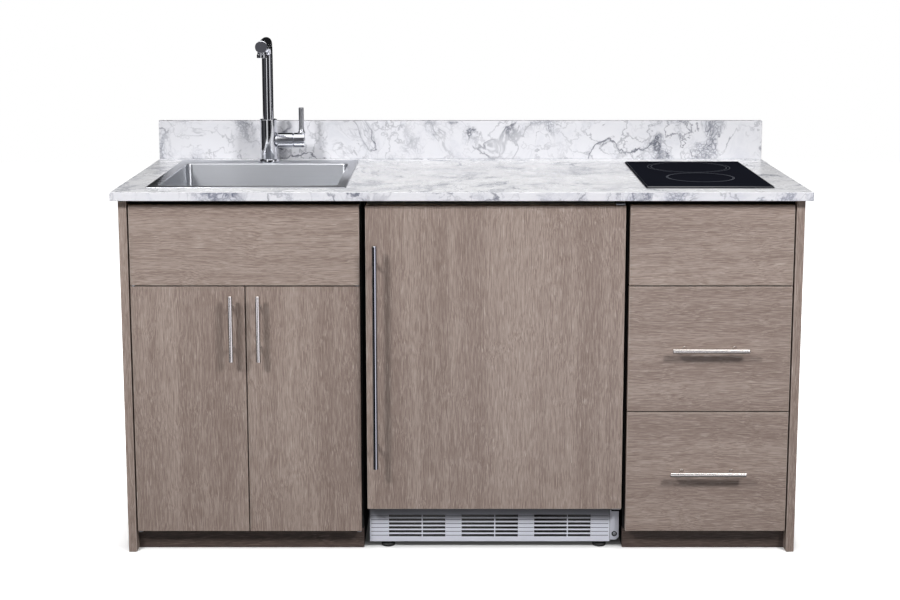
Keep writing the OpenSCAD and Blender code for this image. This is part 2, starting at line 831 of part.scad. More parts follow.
module upper_drawer_runners() {
  color([0.85, 0.85, 0.86]) drawer_runners_at(upper_front_z);
}

module lower_drawer_front() {
  color([0.62, 0.57, 0.54]) drawer_front_at(z_row_low, lower_front_h);
}

module lower_drawer_box() {
  color([0.85, 0.83, 0.8]) drawer_box_at(z_row_low);
}

module lower_drawer_handle() {
  color([0.75, 0.73, 0.7]) drawer_handle_at(z_row_low, lower_front_h);
}

module lower_drawer_runners() {
  color([0.85, 0.85, 0.86]) drawer_runners_at(z_row_low);
}

// ---- Sink ----

module sink_bowl() {
  color([0.72, 0.73, 0.75]) difference() {
    union() {
      translate([sink_mid, rim_y, counter_h]) linear_extrude(sink_rim_t)
        round_rect(sink_rim_w, sink_rim_d, rim_r);
      translate([sink_mid, bowl_y, z_bowl - bowl_t]) linear_extrude(bowl_depth)
        round_rect(bowl_w + 2*bowl_t, bowl_d + 2*bowl_t, bowl_r + bowl_t);
    }
    translate([sink_mid, bowl_y, z_bowl]) linear_extrude(bowl_depth + eps)
      round_rect(bowl_w, bowl_d, bowl_r);
    translate([sink_mid, bowl_y, z_bowl - bowl_t - eps])
      cylinder(r = drain_hole_r + drain_fit, h = bowl_t + 2*eps);
    translate([tap_x, tap_wy, counter_h - eps])
      cylinder(r = shank_r + hole_clear, h = sink_rim_t + 2*eps);
  }
}

// Hooks that hold the sink's rim down on the worktop, two on each side
module sink_clips() {
  wall_x = bowl_w/2 + bowl_t;
  color([0.6, 0.61, 0.63]) for (s = [0, 1], sy = [-1, 1])
    translate([sink_mid, bowl_y + sy*bowl_d/4, 0]) mirror([s, 0, 0]) {
      box([wall_x, -clip_w/2, z_under - clip_h], [wall_x + clip_t, clip_w/2, z_under]);
      box([wall_x, -clip_w/2, z_under - clip_t],
          [sink_hole_w/2 + clip_grip, clip_w/2, z_under]);
    }
}

// Flanged drain cup with its outlet neck and the nut under the bowl
module drain_body() {
  neck_r = tail_r + drain_t;
  color([0.7, 0.71, 0.73]) translate([sink_mid, bowl_y, 0]) rotate_extrude()
    polygon([[drain_flange_r, z_bowl], [drain_flange_r, z_bowl + drain_flange_t],
             [drain_hole_r - drain_t, z_bowl + drain_flange_t], [drain_hole_r - drain_t, z_cup + drain_t],
             [tail_r - drain_t, z_cup + drain_t], [tail_r - drain_t, z_cup],
             [drain_hole_r, z_cup], [drain_hole_r, z_bowl - bowl_t - nut_h],
             [drain_flange_r, z_bowl - bowl_t - nut_h], [drain_flange_r, z_bowl - bowl_t],
             [drain_hole_r, z_bowl - bowl_t], [drain_hole_r, z_bowl]]);
}

// Tube and slip nut that hang from the drain cup
module drain_tailpiece() {
  color([0.85, 0.85, 0.85]) translate([sink_mid, bowl_y, 0]) rotate_extrude()
    polygon([[tail_r - drain_t, z_cup], [tail_r - drain_t, z_cup - tail_l], [tail_r, z_cup - tail_l],
             [tail_r, z_cup - nut_h], [tail_r + nut_h/2, z_cup - nut_h], [tail_r + nut_h/2, z_cup]]);
}

// Lift-out basket: a perforated pan with a lip and a knob
module strainer_basket() {
  lip_z = z_bowl + drain_flange_t + 0.3;
  basket_r = drain_hole_r - drain_t - 2;
  basket_h = drain_cup_h/2;
  hole_r = 2.5;
  color([0.74, 0.75, 0.77]) translate([sink_mid, bowl_y, lip_z]) difference() {
    rotate_extrude()
      polygon([[0, -basket_h], [basket_r - 6, -basket_h], [basket_r, -basket_h/3], [basket_r, 0],
               [basket_r + 5, 0], [basket_r + 5, drain_t], [basket_r - drain_t, drain_t],
               [basket_r - drain_t, -basket_h/3], [basket_r - 6 - drain_t, -basket_h + drain_t],
               [4, -basket_h + drain_t], [4, 4], [9, 6], [9, 10], [0, 12]]);
    for (ring = [[6, 14], [12, 24]], i = [0 : ring[0] - 1])
      rotate([0, 0, i*360/ring[0]]) translate([ring[1], 0, -basket_h - eps])
        cylinder(r = hole_r, h = drain_t + 2*eps);
  }
}

// ---- Tap ----

module tap_body() {
  color([0.35, 0.35, 0.38]) translate([tap_x, tap_wy, z_deck]) difference() {
    union() {
      rotate_extrude()
        polygon([[0, 0], [tap_flange_d/2, 0], [tap_flange_d/2, tap_flange_h - 3],
                 [tap_body_d/2 + 1, tap_flange_h], [tap_body_d/2, tap_flange_h],
                 [tap_body_d/2, tap_body_h], [0, tap_body_h]]);
      translate([0, 0, z_valve - z_deck]) rotate([0, 90, 0]) rotate_extrude()
        polygon([[0, 0], [valve_d/2, 0], [valve_d/2, valve_l - groove],
                 [valve_d/2 - groove, valve_l], [0, valve_l]]);
      translate([0, 0, -shank_l - sink_rim_t]) cylinder(r = shank_r, h = shank_l + sink_rim_t + eps);
    }
    translate([0, 0, tap_body_h - spout_foot - 1])
      cylinder(d = spout_d + 2*spout_clear, h = spout_foot + 2);
    translate([stem_foot - 1, 0, z_valve - z_deck]) rotate([0, 90, 0])
      cylinder(r = stem_r + stem_clear, h = valve_l);
  }
}

// Washer and nut that clamp the tap to the sink deck
module tap_shank_nut() {
  color([0.72, 0.6, 0.35]) translate([tap_x, tap_wy, counter_h - nut_h]) difference() {
    union() {
      cylinder(r = nut_r - 3, h = nut_h, $fn = 6);
      translate([0, 0, nut_h - 2]) cylinder(r = nut_r, h = 2, $fn = 64);
    }
    translate([0, 0, -eps]) cylinder(r = shank_r, h = nut_h + 2*eps);
  }
}

// Hot and cold copper tails under the shank
module tap_inlet_tails() {
  color([0.75, 0.48, 0.33]) for (s = [-1, 1])
    translate([tap_x + s*tail_pipe_gap/2, tap_wy, counter_h - shank_l - tail_pipe_l])
      cylinder(r = tail_pipe_r, h = tail_pipe_l);
}

// Swivel spout: upright tube, bend, arm and end cap, turned to its rest angle
module tap_spout() {
  up = z_spout - z_body_top - spout_bend_r;
  arm = spout_reach - spout_bend_r - end_cap_l;
  aer_r = aerator_d/2;
  color([0.35, 0.35, 0.38]) translate([tap_x, tap_wy, z_body_top]) rotate([0, 0, spout_rest_deg])
    union() {
      translate([0, 0, -spout_foot]) cylinder(d = spout_d, h = spout_foot + up);
      translate([0, -spout_bend_r, up]) rotate([90, 0, 90])
        rotate_extrude(angle = 90) translate([spout_bend_r, 0]) circle(d = spout_d);
      translate([0, -spout_bend_r, up + spout_bend_r]) rotate([90, 0, 0])
        cylinder(d = spout_d, h = arm);
      translate([0, -spout_bend_r - arm, up + spout_bend_r]) rotate([90, 0, 0])
        cylinder(d = end_cap_d, h = end_cap_l);
      translate([0, -spout_reach + aerator_inset, up + spout_bend_r - spout_d/2 - 4])
        cylinder(r = aer_r - 2, h = 8);
    }
}

// Aerator ring under the spout's end
module tap_aerator() {
  low = z_spout - spout_d/2 - aerator_drop;
  color([0.3, 0.3, 0.33]) translate([tap_x, tap_wy, low]) rotate([0, 0, spout_rest_deg])
    translate([0, -spout_reach + aerator_inset, 0]) difference() {
      cylinder(d = aerator_d, h = aerator_drop - 4);
      translate([0, 0, -eps]) cylinder(r = aerator_bore_r, h = 4 + eps);
    }
}

// Valve stem and its cap, with the slot and the pin for the lever
module tap_valve_stem() {
  color([0.35, 0.35, 0.38]) translate([tap_x, tap_wy, z_valve]) {
    difference() {
      rotate([0, 90, 0]) rotate_extrude()
        polygon([[0, stem_foot], [stem_r, stem_foot], [stem_r, cap_x0], [valve_d/2 - groove, cap_x0],
                 [valve_d/2, cap_x0 + groove], [valve_d/2, cap_x0 + valve_cap_l],
                 [0, cap_x0 + valve_cap_l]]);
      box([lever_x - lever_d/2 - slot_clear, -lever_d/2 - slot_clear,
           lever_pivot_rise - lever_d/2 - slot_clear],
          [lever_x + valve_d, lever_d/2 + slot_clear, valve_d]);
    }
    translate([lever_x, -lever_d/2 - 3, lever_pivot_rise]) rotate([-90, 0, 0])
      cylinder(r = lever_pin_r, h = lever_d + 6);
  }
}

module tap_lever() {
  color([0.35, 0.35, 0.38]) translate([tap_x + lever_x, tap_wy, z_valve]) difference() {
    union() {
      translate([0, 0, lever_pivot_rise]) cylinder(d = lever_d, h = lever_top - lever_pivot_rise);
      translate([0, 0, lever_pivot_rise]) sphere(d = lever_d);
    }
    translate([0, -lever_d, lever_pivot_rise]) rotate([-90, 0, 0])
      cylinder(r = lever_pin_r + lever_pin_clear, h = 2*lever_d);
  }
}

// ---- Hob ----

module hob_glass() {
  color([0.03, 0.03, 0.035]) translate([drawer_mid, hob_y0 + hob_d/2, counter_h]) intersection() {
    linear_extrude(hob_glass_t) round_rect(hob_w, hob_d, hob_r);
    translate([-hob_w/2, 0, 0]) rotate([90, 0, 90]) linear_extrude(hob_w)
      polygon([[-hob_d/2, 0], [hob_d/2, 0], [hob_d/2, hob_glass_t/2], [hob_d/2 - hob_bevel, hob_glass_t],
               [-hob_d/2 + hob_bevel, hob_glass_t], [-hob_d/2, hob_glass_t/2]]);
    translate([0, hob_d/2, 0]) rotate([90, 0, 0]) linear_extrude(hob_d)
      polygon([[-hob_w/2, 0], [hob_w/2, 0], [hob_w/2, hob_glass_t/2], [hob_w/2 - hob_bevel, hob_glass_t],
               [-hob_w/2 + hob_bevel, hob_glass_t], [-hob_w/2, hob_glass_t/2]]);
  }
}

// Steel pan under the glass
module hob_pan() {
  color([0.6, 0.61, 0.63]) translate([drawer_mid, hob_y0 + hob_d/2, counter_h - hob_pan_h]) difference() {
    linear_extrude(hob_pan_h) square([pan_w, pan_d], center = true);
    translate([0, 0, hob_pan_t]) linear_extrude(hob_pan_h)
      square([pan_w - 2*hob_pan_t, pan_d - 2*hob_pan_t], center = true);
  }
}

// Two radiant elements on the pan's floor, each with its rim
module hob_elements() {
  color([0.55, 0.53, 0.5]) for (zone = [[rear_zone_y, rear_zone_d], [front_zone_y, front_zone_d]])
    translate([drawer_mid, zone[0], counter_h - hob_pan_h + hob_pan_t]) difference() {
      cylinder(r = zone[1]/2 - element_inset, h = element_h);
      translate([0, 0, element_h - 8]) cylinder(r = zone[1]/2 - element_inset - 8, h = 8 + eps);
    }
}

// ---- Fridge ----

// Insulated walls, with the niche for the compressor at the lower back
module fridge_case() {
  color([0.1, 0.1, 0.11]) difference() {
    box([case_x0, case_y0, case_z], [case_x1, case_y1, case_top]);
    box([case_x0 - eps, case_y1 - niche_d, case_z - eps], [case_x1 + eps, case_y1 + eps, case_z + niche_h]);
    inner_space(0, eps);
  }
}

// Plastic liner with its shelf ledges and the thermostat's housing
module fridge_liner() {
  color([0.95, 0.95, 0.95]) difference() {
    union() {
      difference() {
        inner_space(0, 0);
        inner_space(liner_t, eps);
      }
      for (i = [0 : shelf_count]) ledges(cover_z + i*shelf_pitch);
      box([thermo_x0, thermo_y - thermo_w/2, thermo_z],
          [thermo_x0 + thermo_d + liner_t/2, thermo_y + thermo_w/2, thermo_z + thermo_h]);
    }
    translate([thermo_x0 - eps, thermo_y, thermo_z + thermo_h/2]) rotate([0, 90, 0])
      cylinder(r = knob_shaft_r + knob_clear, h = thermo_d/2 + eps);
  }
}

// Chassis tray that carries the case and the compressor; its front stays below the swinging door
module fridge_chassis() {
  y0 = grille_y + grille_d;
  color([0.15, 0.15, 0.16]) {
    box([case_x0, y0, chassis_z], [case_x1, case_y1, chassis_z + chassis_t]);
    for (x = [case_x0, case_x1 - chassis_t]) {
      box([x, y0, chassis_z], [x + chassis_t, case_y0, bracket_z]);
      box([x, case_y0, chassis_z], [x + chassis_t, case_y1, case_z]);
    }
    box([case_x0, y0, bracket_z - 8], [case_x1, y0 + chassis_t, bracket_z]);
  }
}

module fridge_grille() {
  mid = (grille_x0 + grille_x1)/2;
  color([0.7, 0.7, 0.74]) difference() {
    box([grille_x0, grille_y, chassis_z], [grille_x1, grille_y + grille_d, grille_top]);
    box([grille_x0 + grille_t, grille_y + grille_t, chassis_z + grille_t],
        [grille_x1 - grille_t, grille_y + grille_d + eps, grille_top - grille_t]);
    for (g = [-1, 0, 1], i = [0 : slot_count - 1])
      translate([mid + g*slot_group_pitch - slot_group_w/2, grille_y - eps,
                 slot_z + i*slot_pitch - slot_h/2]) {
        cube([slot_rib_x - slot_rib/2, grille_t + 2*eps, slot_h]);
        translate([slot_rib_x + slot_rib/2, 0, 0])
          cube([slot_group_w - slot_rib_x - slot_rib/2, grille_t + 2*eps, slot_h]);
      }
  }
}

// Four levelling feet with their screws; the front pair shows under the grille
module fridge_feet() {
  disc_h = chassis_z - 2;
  front_y = max(grille_y + foot_d/2 + 1, grille_y + grille_d + foot_screw_r);
  back_y = case_y1 - foot_inset;
  color([0.05, 0.05, 0.05]) for (x = [case_x0 + foot_inset, case_x1 - foot_inset], y = [front_y, back_y])
    translate([x, y, 0]) {
      cylinder(d = foot_d, h = disc_h);
      cylinder(r = foot_screw_r, h = chassis_z);
    }
}

// Lower and upper hinge brackets with their pins
module fridge_hinges() {
  pin_l = hinge_gap + door_plate_t + fridge_bush_h - 2;
  color([0.6, 0.61, 0.63]) {
    box([plate_x0, hinge_y - plate_front, bracket_z],
        [case_x1, grille_y + grille_d, bracket_z + bracket_t]);
    box([plate_x0, grille_y + grille_t, chassis_z + 4],
        [case_x1, grille_y + grille_d, bracket_z + bracket_t]);
    translate([hinge_x, hinge_y, bracket_z]) cylinder(r = fridge_pin_r, h = bracket_t + pin_l);
    box([plate_x0, hinge_y - plate_front, case_top], [case_x1, case_y0 + 40, case_top + bracket_t]);
    translate([hinge_x, hinge_y, case_top - pin_l])
      cylinder(r = fridge_pin_r, h = bracket_t + pin_l);
  }
}

// Cover plate over the lower hinge, with one round corner
module fridge_hinge_cover() {
  corner_r = 10;
  color([0.7, 0.7, 0.74]) translate([plate_x0, grille_y + grille_t, chassis_z + 4]) rotate([90, 0, 0])
    linear_extrude(grille_t) difference() {
      union() {
        translate([0, corner_r]) square([bracket_w, hinge_cover_h - corner_r]);
        square([bracket_w - corner_r, hinge_cover_h]);
        translate([bracket_w - corner_r, corner_r]) circle(r = corner_r);
      }
      translate([bracket_w/2, 15]) circle(r = 3);
    }
}

// Insulated door, with a round relief at each end for the hinge bush
module fridge_door() {
  color([0.92, 0.92, 0.92]) difference() {
    box([case_x0, y_front_back, panel_bottom], [case_x1, door_y1, panel_top]);
    for (z = [panel_bottom - eps, panel_top - fridge_bush_h])
      translate([hinge_x, hinge_y, z]) cylinder(r = fridge_bush_r + bush_pocket, h = fridge_bush_h + eps);
  }
}

module fridge_door_gasket() {
  color([0.25, 0.25, 0.26]) difference() {
    box([case_x0 + gasket_inset, door_y1, case_z + gasket_inset],
        [case_x1 - gasket_inset, door_y1 + gasket_t, panel_top - gasket_inset]);
    box([case_x0 + gasket_inset + gasket_w, door_y1 - eps, case_z + gasket_inset + gasket_w],
        [case_x1 - gasket_inset - gasket_w, door_y1 + gasket_t + eps, panel_top - gasket_inset - gasket_w]);
  }
}

module fridge_door_panel() {
  color([0.62, 0.57, 0.54]) difference() {
    box([panel_x0, y_face, panel_bottom], [panel_x1, y_front_back, panel_top]);
    for (z = [panel_bottom - eps, panel_top - fridge_bush_h])
      translate([hinge_x, hinge_y, z]) cylinder(r = fridge_bush_r + bush_pocket, h = fridge_bush_h + eps);
    for (z = [panel_bottom - eps, panel_top - fridge_bush_h])
      translate([hinge_x - fridge_bush_r - bush_pocket, hinge_y, z])
        cube([2*(fridge_bush_r + bush_pocket), front_t, fridge_bush_h + eps]);
  }
}

module fridge_door_handle() {
  z = (panel_bottom + panel_top)/2 + fridge_handle_rise;
  color([0.3, 0.3, 0.32]) translate([panel_x0 + fridge_handle_inset, y_face, z]) rotate([0, 90, 0])
    bar_handle(fridge_handle_l, fridge_post_gap, fridge_bar_d, post_d, fridge_handle_reach);
}

// Hinge plates on the door's two ends, each with a bored bush in the panel's pocket
module fridge_door_bushes() {
  color([0.6, 0.61, 0.63]) for (low = [1, 0])
    translate([0, 0, low == 1 ? panel_bottom : panel_top]) mirror([0, 0, low]) difference() {
      union() {
        box([plate_x0, hinge_y - plate_front, 0], [case_x1, door_y1, door_plate_t]);
        translate([hinge_x, hinge_y, -fridge_bush_h + 0.5])
          cylinder(r = fridge_bush_r, h = fridge_bush_h - 0.5 + door_plate_t/2);
      }
      translate([hinge_x, hinge_y, -fridge_bush_h])
        cylinder(r = fridge_pin_r + fridge_pin_clear, h = fridge_bush_h + 2*door_plate_t);
    }
}

// Open racks on the inside of the door
module fridge_door_racks() {
  color([0.9, 0.93, 0.95]) for (i = [0 : rack_count - 1])
    translate([fridge_mid, door_y1, rack_z0 + i*rack_pitch]) difference() {
      translate([-rack_w/2, 0, 0]) cube([rack_w, rack_d, rack_h]);
      translate([-rack_w/2 + rack_t, rack_t, rack_t])
        cube([rack_w - 2*rack_t, rack_d - 2*rack_t, rack_h]);
    }
}

// Glass cover of the crisper and the glass shelves above it
module fridge_shelves() {
  half = fridge_w/2 - wall_t - liner_t - shelf_clear;
  color([0.75, 0.85, 0.85]) for (i = [0 : shelf_count])
    translate([fridge_mid, 0, cover_z + i*shelf_pitch])
      box([-half, inside_y0, 0], [half, inner_y1 - shelf_back_gap, shelf_t]);
}

module fridge_crisper() {
  half = fridge_w/2 - wall_t - liner_t - crisper_gap - ledge_w;
  low = case_z + case_floor_t + liner_t;
  high = cover_z - ledge_h - crisper_gap;
  y1 = step_y - liner_t - crisper_gap;
  color([0.85, 0.9, 0.92]) translate([fridge_mid, 0, 0]) difference() {
    box([-half, inside_y0, low], [half, y1, high]);
    box([-half + rack_t, inside_y0 + rack_t, low + rack_t], [half - rack_t, y1 - rack_t, high + eps]);
  }
}

// Knob on its shaft, pointing into the compartment
module thermostat_knob() {
  color([0.9, 0.9, 0.9]) translate([thermo_x0 - 0.4, thermo_y, thermo_z + thermo_h/2]) rotate([0, -90, 0]) {
    cylinder(d = knob_d, h = knob_l/2);
    cylinder(d = knob_d - 4, h = knob_l);
    translate([0, 0, -thermo_d/2 + 1]) cylinder(r = knob_shaft_r, h = thermo_d/2);
  }
}

// Sealed compressor pot on its plate
module compressor() {
  r = compressor_d/2;
  color([0.06, 0.06, 0.06]) translate([fridge_mid + fridge_w/5, case_y1 - niche_d/2, chassis_z + chassis_t]) {
    translate([-r, -r, 0]) cube([2*r, 2*r, 6]);
    rotate_extrude()
      polygon([[0, 0], [r - 6, 0], [r - 6, 12], [r, 20], [r, compressor_h*0.6],
               [r - 4, compressor_h*0.8], [r - 18, compressor_h*0.95], [0, compressor_h]]);
  }
}

worktop();
backsplash();
left_end_panel();
right_end_panel();
sink_cabinet_sides();
drawer_cabinet_sides();
cabinet_floors();
cabinet_rails();
cabinet_backs();
toe_kicks();
sink_false_front();
hob_false_front();
door_pivot_leaves();
left_door();
left_door_bushes();
left_door_handle();
right_door();
right_door_bushes();
right_door_handle();
drawer_channels();
upper_drawer_front();
upper_drawer_box();
upper_drawer_handle();
upper_drawer_runners();
lower_drawer_front();
lower_drawer_box();
lower_drawer_handle();
lower_drawer_runners();
sink_bowl();
sink_clips();
drain_body();
drain_tailpiece();
strainer_basket();
tap_body();
tap_shank_nut();
tap_inlet_tails();
tap_spout();
tap_aerator();
tap_valve_stem();
tap_lever();
hob_glass();
hob_pan();
hob_elements();
fridge_case();
fridge_liner();
fridge_chassis();
fridge_grille();
fridge_feet();
fridge_hinges();
fridge_hinge_cover();
fridge_door();
fridge_door_gasket();
fridge_door_panel();
fridge_door_handle();
fridge_door_bushes();
fridge_door_racks();
fridge_shelves();
fridge_crisper();
thermostat_knob();
compressor();
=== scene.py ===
import json
import math

import bmesh
import bpy
from mathutils import Matrix, Vector

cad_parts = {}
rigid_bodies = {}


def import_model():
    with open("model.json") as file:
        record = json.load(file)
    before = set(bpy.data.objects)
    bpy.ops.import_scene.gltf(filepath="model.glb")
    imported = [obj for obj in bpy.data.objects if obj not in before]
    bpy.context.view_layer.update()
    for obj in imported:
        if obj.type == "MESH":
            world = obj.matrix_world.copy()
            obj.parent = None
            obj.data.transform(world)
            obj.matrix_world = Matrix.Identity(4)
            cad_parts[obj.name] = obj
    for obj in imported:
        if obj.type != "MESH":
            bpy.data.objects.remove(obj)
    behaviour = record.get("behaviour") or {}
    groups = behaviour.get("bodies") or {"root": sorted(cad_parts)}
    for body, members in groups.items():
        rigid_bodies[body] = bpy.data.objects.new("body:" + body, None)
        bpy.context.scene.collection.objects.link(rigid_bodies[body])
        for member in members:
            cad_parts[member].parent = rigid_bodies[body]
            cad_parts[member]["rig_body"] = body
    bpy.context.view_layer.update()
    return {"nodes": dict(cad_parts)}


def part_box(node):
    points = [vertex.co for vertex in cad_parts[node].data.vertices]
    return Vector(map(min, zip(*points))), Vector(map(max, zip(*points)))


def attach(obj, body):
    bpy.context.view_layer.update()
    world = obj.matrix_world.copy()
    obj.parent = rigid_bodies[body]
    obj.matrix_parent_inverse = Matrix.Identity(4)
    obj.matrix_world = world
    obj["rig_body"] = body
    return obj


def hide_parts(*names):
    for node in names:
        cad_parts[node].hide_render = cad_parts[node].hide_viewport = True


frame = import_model()


# ---- Camera ----
# A long lens in front of the unit's middle, at about the height of a tap, that looks a little down on
# the worktop. The small shift keeps the doors' edges nearly upright.
def placed(name, data):
    """A new object in the scene."""
    made = bpy.data.objects.new(name, data)
    bpy.context.scene.collection.objects.link(made)
    return made


camera = placed("camera", bpy.data.cameras.new("camera"))
bpy.context.scene.camera = camera
camera_tilt = 8.65
camera.location = (-0.019, -3.803, 1.376)
camera.rotation_euler = (math.radians(90 - camera_tilt), 0, 0)
camera.data.sensor_width = 36
camera.data.lens = 62.26
camera.data.shift_x = -0.0037
camera.data.shift_y = -0.11
bpy.context.scene.view_settings.view_transform = "Standard"


# ---- Studio: floor, white surroundings and lamps ----
# A white floor that fades into white surroundings, with soft lamps at the left, at the right, overhead
# and low behind. Under the unit and just round it the floor's colour darkens: a painted contact shadow.
# Dark and pale cards, which only reflections see, draw the edges of polished metal. They
# stand all round and close in front of the fridge's handle, and one lies on the floor.
def add(tree, kind, inputs=None, **settings):
    """A shader node with its settings, whose inputs each take a value or another node's output."""
    node = tree.nodes.new("ShaderNode" + kind)
    for key, value in settings.items():
        setattr(node, key, value)
    for key, value in (inputs or {}).items():
        if isinstance(value, bpy.types.NodeSocket):
            tree.links.new(value, node.inputs[key])
        else:
            node.inputs[key].default_value = value
    return node


def calc(tree, operation, first, second=0.0):
    """The result of a Math node."""
    return add(tree, "Math", {0: first, 1: second}, operation=operation).outputs[0]


def weighed(tree, *pairs):
    """The sum of some values, each times its weight."""
    parts = [calc(tree, "MULTIPLY", value, weight) for value, weight in pairs]
    total = parts[0]
    for part in parts[1:]:
        total = calc(tree, "ADD", total, part)
    return total


def vector_calc(tree, operation, first, second=(0, 0, 0)):
    """The result of a Vector Math node, which for LENGTH is a number."""
    node = add(tree, "VectorMath", {0: first, 1: second}, operation=operation)
    return node.outputs["Value" if operation == "LENGTH" else 0]


def ways_seen(tree):
    """1 for the camera's own rays, and 1 for rays from a mirror-like surface or through glass."""
    path = add(tree, "LightPath")
    glossy, through = path.outputs["Is Glossy Ray"], path.outputs["Is Transmission Ray"]
    return path.outputs["Is Camera Ray"], calc(tree, "MAXIMUM", glossy, through)


def flat_sheet(name, corners, material):
    """A flat object with four corners."""
    mesh = bpy.data.meshes.new(name)
    mesh.from_pydata(corners, [], [(0, 1, 2, 3)])
    mesh.materials.append(material)
    return placed(name, mesh)


def bare_tree(owner):
    """The node tree of the world or of a material, emptied."""
    owner.use_nodes = True
    owner.node_tree.nodes.clear()
    return owner.node_tree


world_light = 0.1
world = bpy.data.worlds.new("white_surroundings")
bpy.context.scene.world = world
sky = bare_tree(world)
lighting = add(sky, "Background", {"Color": (1, 1, 1, 1), "Strength": world_light})
backdrop = add(sky, "Background", {"Color": (1, 1, 1, 1), "Strength": 1.0})
seen = calc(sky, "MAXIMUM", *ways_seen(sky))
choice = add(sky, "MixShader", {0: seen, 1: lighting.outputs[0], 2: backdrop.outputs[0]})
sky.links.new(choice.outputs[0], add(sky, "OutputWorld").inputs["Surface"])

floor_half, floor_z = 7.0, -0.0004
unit_half, fade_speed = (0.78, 0.21, 0.0), (2.5, 1, 1)
floor_white = bpy.data.materials.new("floor_white")
tree = bare_tree(floor_white)
seen, mirrored = ways_seen(tree)
reach = vector_calc(tree, "ABSOLUTE", add(tree, "TexCoord").outputs["Object"])
reach = vector_calc(tree, "MAXIMUM", vector_calc(tree, "SUBTRACT", reach, unit_half))
reach = vector_calc(tree, "LENGTH", vector_calc(tree, "MULTIPLY", reach, fade_speed))
far = add(tree, "MapRange", {0: reach, 1: 0.0, 2: 0.5, 3: 0.02, 4: 1.0}).outputs[0]
# Painted contact shadow: seen by the camera, the floor is dark under the unit and pale again a few cm out.
painted_contact_shadow = add(tree, "MapRange", {0: reach, 1: 0.0, 2: 0.07, 3: 0.16, 4: 1.35}).outputs[0]
shade = add(tree, "Mix", {0: mirrored, 2: 0.42, 3: 0.1}).outputs[0]
shade = add(tree, "Mix", {0: seen, 2: shade, 3: painted_contact_shadow}).outputs[0]
matt = add(tree, "BsdfDiffuse", {"Color": shade})
mirror_glow = 0.06
glow = weighed(tree, (seen, far), (mirrored, mirror_glow))
glow = add(tree, "Emission", {"Color": (1, 1, 1, 1), "Strength": glow})
both = add(tree, "AddShader", {0: matt.outputs[0], 1: glow.outputs[0]})
tree.links.new(both.outputs[0], add(tree, "OutputMaterial").inputs["Surface"])
floor = flat_sheet("floor", [(x * floor_half, y * floor_half, floor_z)
                             for x, y in ((-1, -1), (1, -1), (1, 1), (-1, 1))], floor_white)


def lamp(name, place, target, width, height, watts):
    """A soft box at a place, aimed at a target."""
    light = bpy.data.lights.new(name, "AREA")
    light.shape = "RECTANGLE"
    light.size, light.size_y, light.energy = width, height, watts
    box = placed(name, light)
    box.location = place
    box.rotation_euler = (Vector(target) - Vector(place)).to_track_quat("-Z", "Y").to_euler()


lamp("left_lamp", (-1.7, -2.3, 2.42), (-0.2, -0.2, 0.5), 0.5, 0.5, 64.5)
lamp("right_lamp", (1.7, -2.3, 2.42), (0.2, -0.2, 0.5), 0.5, 0.5, 66)
lamp("top_lamp", (0, -0.55, 3.3), (0, -0.15, 0.8), 2.4, 1.0, 20)
lamp("back_lamp", (0.3, 3.2, 0.6), (0, 0.3, 0.45), 1.8, 0.9, 45)

# Each upright card: the x and y of its two feet, its bottom, its top and its tone
front_y, back_y, side_x, waist, head = -1.9, 1.6, 2.6, 0.45, 3.0
cards = ((-side_x, back_y, side_x, back_y, 0, 5.0, 0.012),
         (-side_x, back_y, -side_x, -0.75, 0, head, 0.03),
         (-side_x, -0.75, -side_x, front_y, 0, head, 0.08),
         (-side_x, front_y, -1.7, front_y, waist, head, 0.02),
         (-1.7, front_y, -1.2, front_y, waist, head, 0.06),
         (-0.75, front_y, -0.3, front_y, waist, head, 0.1),
         (-0.3, front_y, 0.75, front_y, waist, head, 0.008),
         (0.75, front_y, 1.9, front_y, waist, head, 0.07),
         (side_x, -1.3, side_x, -0.3, 0, head, 0.16),
         (side_x, -0.3, side_x, back_y, 0, head, 0.06),
         (-side_x, front_y, -2.3, front_y, 0, waist, 0.06),
         (-2.3, front_y, -1.2, front_y, 0, waist, 1.6),
         (-1.2, front_y, -0.6, front_y, 0, waist, 0.15),
         (-0.6, front_y, 0.1, front_y, 0, waist, 0.45),
         (0.12, front_y, 1.2, front_y, 0, waist, 1.6),
         (1.2, front_y, side_x, front_y, 0, waist, 0.9))
card_shapes = [(((x0, y0, z0), (x1, y1, z0), (x1, y1, z1), (x0, y0, z1)), tone)
               for x0, y0, x1, y1, z0, z1, tone in cards]
bar_low, bar_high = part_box("fridge_door_handle")
bar_x, flag_y = (bar_low.x + bar_high.x) / 2, bar_low.y - 0.03
flag_foot, flag_top = bar_low.z - 0.06, bar_high.z + 0.02
for x0, x1, tone in ((-0.14, 0.002, 0.02), (0.06, 0.19, 0.04)):
    card_shapes.append(([(bar_x + x, flag_y, z) for x, z in ((x0, flag_foot), (x1, flag_foot),
                                                             (x1, flag_top), (x0, flag_top))], tone))
strip_y, strip_z = -0.62, 0.001
card_shapes.append(([(bar_x + x, y, strip_z) for x, y in ((0.05, strip_y), (0.2, strip_y),
                                                          (1.2, front_y), (0.3, front_y))], 1.8))
card_blue = 1.1
for number, (corners, tone) in enumerate(card_shapes):
    card_grey = bpy.data.materials.new(f"card_grey_{number + 1}")
    tree = bare_tree(card_grey)
    card_face = add(tree, "Emission", {"Color": (tone, tone, tone * card_blue, 1), "Strength": 1.0})
    tree.links.new(card_face.outputs[0], add(tree, "OutputMaterial").inputs["Surface"])
    card = flat_sheet(f"dark_card_{number + 1}", corners, card_grey)
    card.visible_camera = card.visible_diffuse = card.visible_shadow = False
    card.visible_transmission = False


# ---- Cabinet sides and rails ----
# Two sides for each cabinet and the rails between them, sawn from black-faced particle board with
# edge tape on the front. They are joined with dowels and cams, so nothing shows outside.
def paint(red, green, blue):
    """A paint card's colour, 0 to 255 in each part, as the shader's linear values."""
    parts = (c / 255 for c in (red, green, blue))
    return tuple(c / 12.92 if c < 0.04 else ((c + 0.055) / 1.055) ** 2.4 for c in parts) + (1,)


